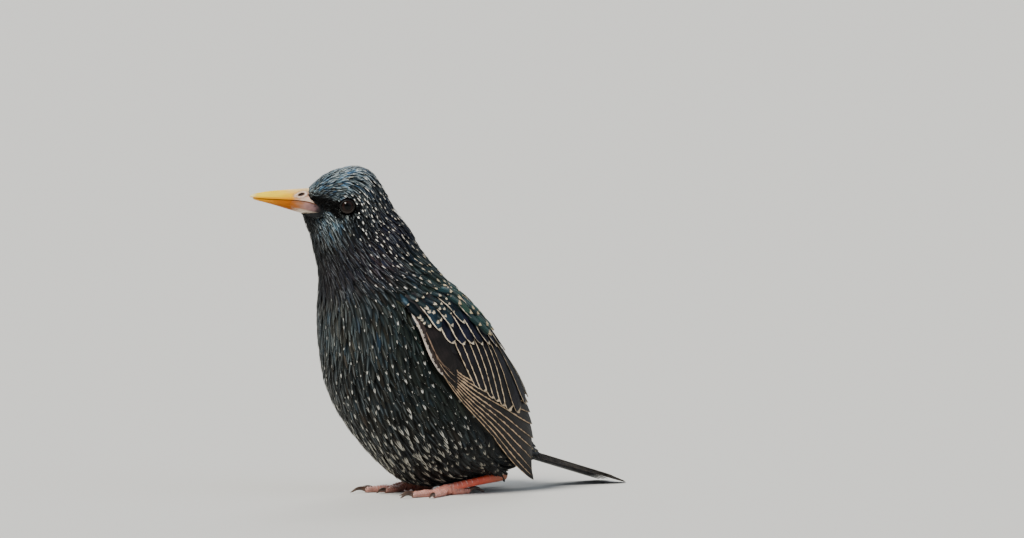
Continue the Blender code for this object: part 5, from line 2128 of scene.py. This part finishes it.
eye_finish, lid_finish = eye_material(), lid_material()
for name, side in (("left", 1.0), ("right", -1.0)):
    low, high = (np.array(corner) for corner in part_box(f"eye_{name}"))
    centre, radius = (low + high) / 2, float((high - low)[2]) / 2
    outward = head_point(0.0, side, 0.0) - head_point(0.0, 0.0, 0.0)
    outward, ahead, up = Vector(outward), Vector(HEAD_AHEAD), Vector((0, 0, 1))
    ball = bmesh.new()
    bmesh.ops.create_uvsphere(ball, u_segments=48, v_segments=32, radius=radius)
    turn = outward.to_track_quat("Z", "Y").to_matrix().to_4x4()
    bmesh.ops.transform(ball, matrix=Matrix.Translation(centre) @ turn, verts=ball.verts)
    place = []
    for vert in ball.verts:
        out = vert.co - Vector(centre)
        off = math.sqrt(max(out.length_squared - out.dot(outward) ** 2, 0)) / radius
        facing = out.dot(outward) > 0
        place.append((off if facing else 1.0, 0, 0))
        swell = 0.35 * MM * max(1 - (off / 0.62) ** 2, 0) if facing else 0
        vert.co += outward * swell
    eye = object_from(f"eyeball_{name}", ball, eye_finish)
    point_values(eye.data, "place", place)
    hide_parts(f"eye_{name}")

    ring = bmesh.new()
    opening = EYE_OPENING * MM
    section = bmesh.ops.create_circle(ring, segments=14, radius=0.36 * MM)["verts"]
    stand = Matrix.Translation((opening, 0, 0)) @ Matrix.Rotation(math.pi / 2, 4, "X")
    bmesh.ops.transform(ring, matrix=stand, verts=section)
    bmesh.ops.spin(
        ring,
        geom=ring.edges[:] + ring.verts[:],
        cent=(0, 0, 0),
        axis=(0, 0, 1),
        angle=2 * math.pi,
        steps=64,
        use_merge=True,
    )
    bmesh.ops.remove_doubles(ring, verts=ring.verts, dist=1e-6)
    bmesh.ops.recalc_face_normals(ring, faces=ring.faces)
    rise = math.sqrt(radius**2 - opening**2)
    place = []
    for vert in ring.verts:
        turn_at = math.atan2(vert.co.y, vert.co.x)
        out = vert.co.xy.length - opening
        fuller = 1 + 0.35 * max(-math.sin(turn_at), 0)
        almond = 1 + 0.05 * math.cos(2 * turn_at) + 0.05 * max(math.cos(turn_at), 0) ** 6
        reach = opening * almond + out * fuller
        crease = 0.05 * MM * math.sin(13 * turn_at) * math.sin(3 * turn_at + 1)
        across = ahead * math.cos(turn_at) * reach + up * math.sin(turn_at) * reach
        height = rise + vert.co.z * fuller + crease - (almond - 1) * opening
        place.append((turn_at, out / MM, 0.5 + 0.5 * math.sin(turn_at)))
        vert.co = Vector(centre) + across + outward * height
    bmesh.ops.recalc_face_normals(ring, faces=ring.faces)
    lid = object_from(f"eyelid_{name}", ring, lid_finish)
    point_values(lid.data, "place", place)
print("eye radius:", round(radius / MM, 2), "mm")

# %% [markdown]
# ## Legs
# The shank and foot are bare, scaly skin. They are melted into one closed piece, then rings of
# scutes are pressed into their upper side: plates that overlap down the shank and along each toe.
# The pads under the toes stay smooth.

# %% Leg shapes from the frame's own sizes
SHANK_RADII = (1.9, 1.95, 1.75, 1.6, 1.55, 1.3)
SHANK_SQUEEZE = 0.8
FOOT_OUTWARD = math.radians(8)
# Name: turn from straight ahead, length, radius, claw
TOES = {
    "inner": (-24.0, 15.5, 1.35, 6.0),
    "middle": (0.0, 20.5, 1.45, 7.0),
    "outer": (25.0, 15.5, 1.35, 6.0),
    "hind": (176.0, 12.5, 1.5, 8.5),
}
TOE_TAPER = (1.1, 1.1, 1.0, 0.95, 0.88, 0.72)
TOE_SINKS = 0.2
JOINT_RADII = (2.3, 2.3, 2.0)
HEEL_RADII = (1.9, 1.55, 1.9)
SCUTE_LENGTH = 1.25
SCUTE_HEIGHT = 0.34
LEG_VOXEL = 0.2 * MM


def toe_knots(turn, length, radius):
    """The middle line of a toe along the floor, and the way it points."""
    angle = math.radians(turn) + FOOT_OUTWARD
    ahead = np.array((-math.cos(angle), -math.sin(angle), 0.0))
    low = radius - TOE_SINKS
    steps = [(0.0, TOE_JOINT[2]), (0.16, radius + 0.9), (0.34, low), (0.55, low)]
    steps += [(0.78, low - 0.1), (1.0, low - 0.15)]
    knots = [TOE_JOINT + ahead * length * share for share, _ in steps]
    return [(*knot[:2], z) for knot, (_, z) in zip(knots, steps)], ahead


def knuckled(radii, bumps):
    """Radii along a toe at a finer step, swollen at its joints and round at its end."""
    u = np.linspace(0, 1, 41)
    swell = 1 + 0.12 * np.cos(2 * np.pi * bumps * u) * (u > 0.1)
    end = np.sqrt(1 - np.clip((u - 0.9) / 0.1, 0, 1) ** 2 + 0.04)
    return spline(radii, u) * swell * np.minimum(end, 1)


def leg_pieces():
    shank = [mix(HEEL, TOE_JOINT, share) for share in (0.0, 0.12, 0.3, 0.6, 0.85, 1.0)]
    made = [bent_grid(tube_surface(shank, SHANK_RADII, SHANK_SQUEEZE), 60, 24)]
    for centre, radii in ((TOE_JOINT - (0, 0, 0.9), JOINT_RADII), (HEEL, HEEL_RADII)):
        ball = bmesh.new()
        bmesh.ops.create_uvsphere(ball, u_segments=24, v_segments=16, radius=1.0)
        place = Matrix.Translation(to_frame(centre)) @ Matrix.Diagonal((*(r * MM for r in radii), 1.0))
        bmesh.ops.transform(ball, matrix=place, verts=ball.verts)
        made.append(ball)
    for turn, length, radius, _ in TOES.values():
        knots, _ = toe_knots(turn, length, radius)
        fine = spline(np.array(knots), np.linspace(0, 1, 41))
        radii = knuckled(np.array([radius * w for w in TOE_TAPER]), 3)
        made.append(bent_grid(tube_surface(fine, radii), 80, 20))
    return made


def press_scutes(bm):
    """Raises overlapping plates on the upper side, and returns each point's place on them."""
    joint, heel = to_frame(TOE_JOINT), to_frame(HEEL)
    shank_line = heel - joint
    bm.normal_update()
    places = []
    moves = []
    for vert in bm.verts:
        off = np.array(vert.co) - joint
        share = float(np.dot(off, shank_line) / np.dot(shank_line, shank_line))
        away_from_line = np.linalg.norm(off - shank_line * share)
        on_shank = share > 0.09 and away_from_line < 3.2 * MM and vert.co.z > 2.6 * MM
        if on_shank:
            along = share * np.linalg.norm(shank_line) / MM
            # The plates are short by the toes and long towards the heel
            phase = 7.0 * (along / 28.0) ** 0.72 * 1.6
        else:
            phase = np.linalg.norm(off[:2]) / MM / SCUTE_LENGTH
            along = -np.linalg.norm(off[:2]) / MM
        tooth = phase - math.floor(phase)
        top = smooth((vert.normal.z + 0.15) / 0.4)
        profile = (1 - tooth) if not on_shank else tooth
        rise = SCUTE_HEIGHT * (profile**1.5) * float(top) * (0.55 if on_shank else 1.0)
        moves.append(vert.normal * (rise * MM))
        places.append((along, tooth, float(top)))
    for vert, move in zip(bm.verts, moves):
        vert.co += move
        vert.co.z = max(vert.co.z, 0.0)
    return places


# %% Leg material
def leg_material():
    """Scaly skin: waxy coral red, paler and pinker towards the toes, with whitish plate edges."""
    made, tree, shader = new_material("leg_scutes", Roughness=0.42)
    shader.inputs["IOR"].default_value = 1.5
    place = node(tree, "ShaderNodeAttribute", {"attribute_name": "place"}).outputs["Vector"]
    parts = node(tree, "ShaderNodeSeparateXYZ", {}, {0: place})
    along, tooth, top = (parts.outputs[i] for i in range(3))
    share = node(
        tree, "ShaderNodeMapRange", {}, {"Value": along, "From Min": -20.0, "From Max": 28.0}
    ).outputs[0]
    tint = ramp(
        tree,
        share,
        [(0.0, "#B5857A"), (0.38, "#C98070"), (0.55, "#D0604C"), (0.75, "#CC4A30"), (1.0, "#8A5236")],
    )
    edge = node(
        tree,
        "ShaderNodeMapRange",
        {"interpolation_type": "SMOOTHSTEP"},
        {"Value": tooth, "From Min": 0.25, "From Max": 0.02},
    ).outputs[0]
    near_toes = node(
        tree,
        "ShaderNodeMapRange",
        {"interpolation_type": "SMOOTHSTEP"},
        {"Value": along, "From Min": 17.0, "From Max": 9.0, "To Min": 0.12, "To Max": 0.85},
    ).outputs[0]
    pale = node(tree, "ShaderNodeMath", {"operation": "MULTIPLY"}, {0: edge, 1: near_toes})
    pale = node(tree, "ShaderNodeMath", {"operation": "MULTIPLY"}, {0: pale.outputs[0], 1: top})
    ringed = node(
        tree,
        "ShaderNodeMix",
        {"data_type": "RGBA"},
        {"Factor": pale.outputs[0], 6: tint, 7: paint("#E9D2C8")},
    ).outputs[2]
    spot_place = node(tree, "ShaderNodeTexCoord").outputs["Object"]
    cloud = node(tree, "ShaderNodeTexNoise", {}, {"Vector": spot_place, "Scale": 420.0, "Detail": 5.0})
    wear = node(
        tree,
        "ShaderNodeMapRange",
        {},
        {"Value": cloud.outputs[0], "From Min": 0.3, "From Max": 0.7, "To Min": 0.78, "To Max": 1.12},
    ).outputs[0]
    worn = node(
        tree, "ShaderNodeVectorMath", {"operation": "SCALE"}, {0: ringed, "Scale": wear}
    ).outputs[0]
    fine = node(tree, "ShaderNodeTexVoronoi", {}, {"Vector": spot_place, "Scale": 1800.0})
    bump = node(
        tree,
        "ShaderNodeBump",
        {},
        {"Height": fine.outputs["Distance"], "Strength": 0.25, "Distance": 0.0001},
    )
    tree.links.new(worn, shader.inputs["Base Color"])
    tree.links.new(bump.outputs[0], shader.inputs["Normal"])
    shader.inputs["Subsurface Weight"].default_value = 0.1
    shader.inputs["Subsurface Radius"].default_value = (0.001, 0.0004, 0.0002)
    return made


def claw_material():
    """Claw horn: dark brown, worn paler and glossier at the tip."""
    made, tree, shader = new_material("claw_horn", Roughness=0.35)
    place = node(tree, "ShaderNodeAttribute", {"attribute_name": "place"}).outputs["Vector"]
    parts = node(tree, "ShaderNodeSeparateXYZ", {}, {0: place})
    tint = ramp(tree, parts.outputs[0], [(0.0, "#6B4C3E"), (0.35, "#3A2820"), (1.0, "#57463A")])
    grain = node(tree, "ShaderNodeTexNoise", {}, {"Vector": place, "Scale": 6.0, "Detail": 4.0})
    bump = node(
        tree,
        "ShaderNodeBump",
        {},
        {"Height": grain.outputs[0], "Strength": 0.2, "Distance": 0.0001},
    )
    tree.links.new(tint, shader.inputs["Base Color"])
    tree.links.new(bump.outputs[0], shader.inputs["Normal"])
    return made


# %% Make the legs and claws
CLAW_TAPER = (0.68, 0.6, 0.45, 0.27, 0.08)


def claw_knots(turn, length, radius, claw):
    knots, ahead = toe_knots(turn, length, radius)
    start = np.array(knots[-1]) - ahead * 1.2
    steps = [(0.0, 0.0), (0.3, 0.55), (0.6, 0.45), (0.85, -0.15), (1.0, -0.62)]
    return [
        start + ahead * (claw + 0.9) * share + (0, 0, max(0.22 * claw * z, 0.4 - start[2]))
        for share, z in steps
    ]


def reflected(bm):
    """A copy mirrored to the bird's right side, with its faces turned out again."""
    copy = bm.copy()
    bmesh.ops.scale(copy, vec=(1, -1, 1), verts=copy.verts)
    bmesh.ops.reverse_faces(copy, faces=copy.faces)
    return copy


leg_finish, claw_finish = leg_material(), claw_material()
left_leg = remeshed(joined(leg_pieces()), LEG_VOXEL, 2)
left_places = press_scutes(left_leg)
for name, bm in (("right", reflected(left_leg)), ("left", left_leg)):
    leg = object_from(f"leg_{name}", bm, leg_finish)
    point_values(leg.data, "place", left_places)
    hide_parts(f"shank_{name}", f"foot_{name}")
for toe, (turn, length, radius, claw) in TOES.items():
    widths = [radius * w for w in CLAW_TAPER]
    nail = bent_grid(tube_surface(claw_knots(turn, length, radius, claw), widths, 0.8), 24, 12)
    root = np.array(toe_knots(turn, length, radius)[0][-1])
    along = [float(np.linalg.norm(np.array(v.co) - to_frame(root)) / (claw * MM)) for v in nail.verts]
    for name, bm in (("right", reflected(nail)), ("left", nail)):
        piece = object_from(f"nail_{toe}_{name}", bm, claw_finish)
        point_values(piece.data, "place", [(x, 0, 0) for x in along])
        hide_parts(f"claw_{toe}_{name}")
print("leg faces:", len(leg.data.polygons))
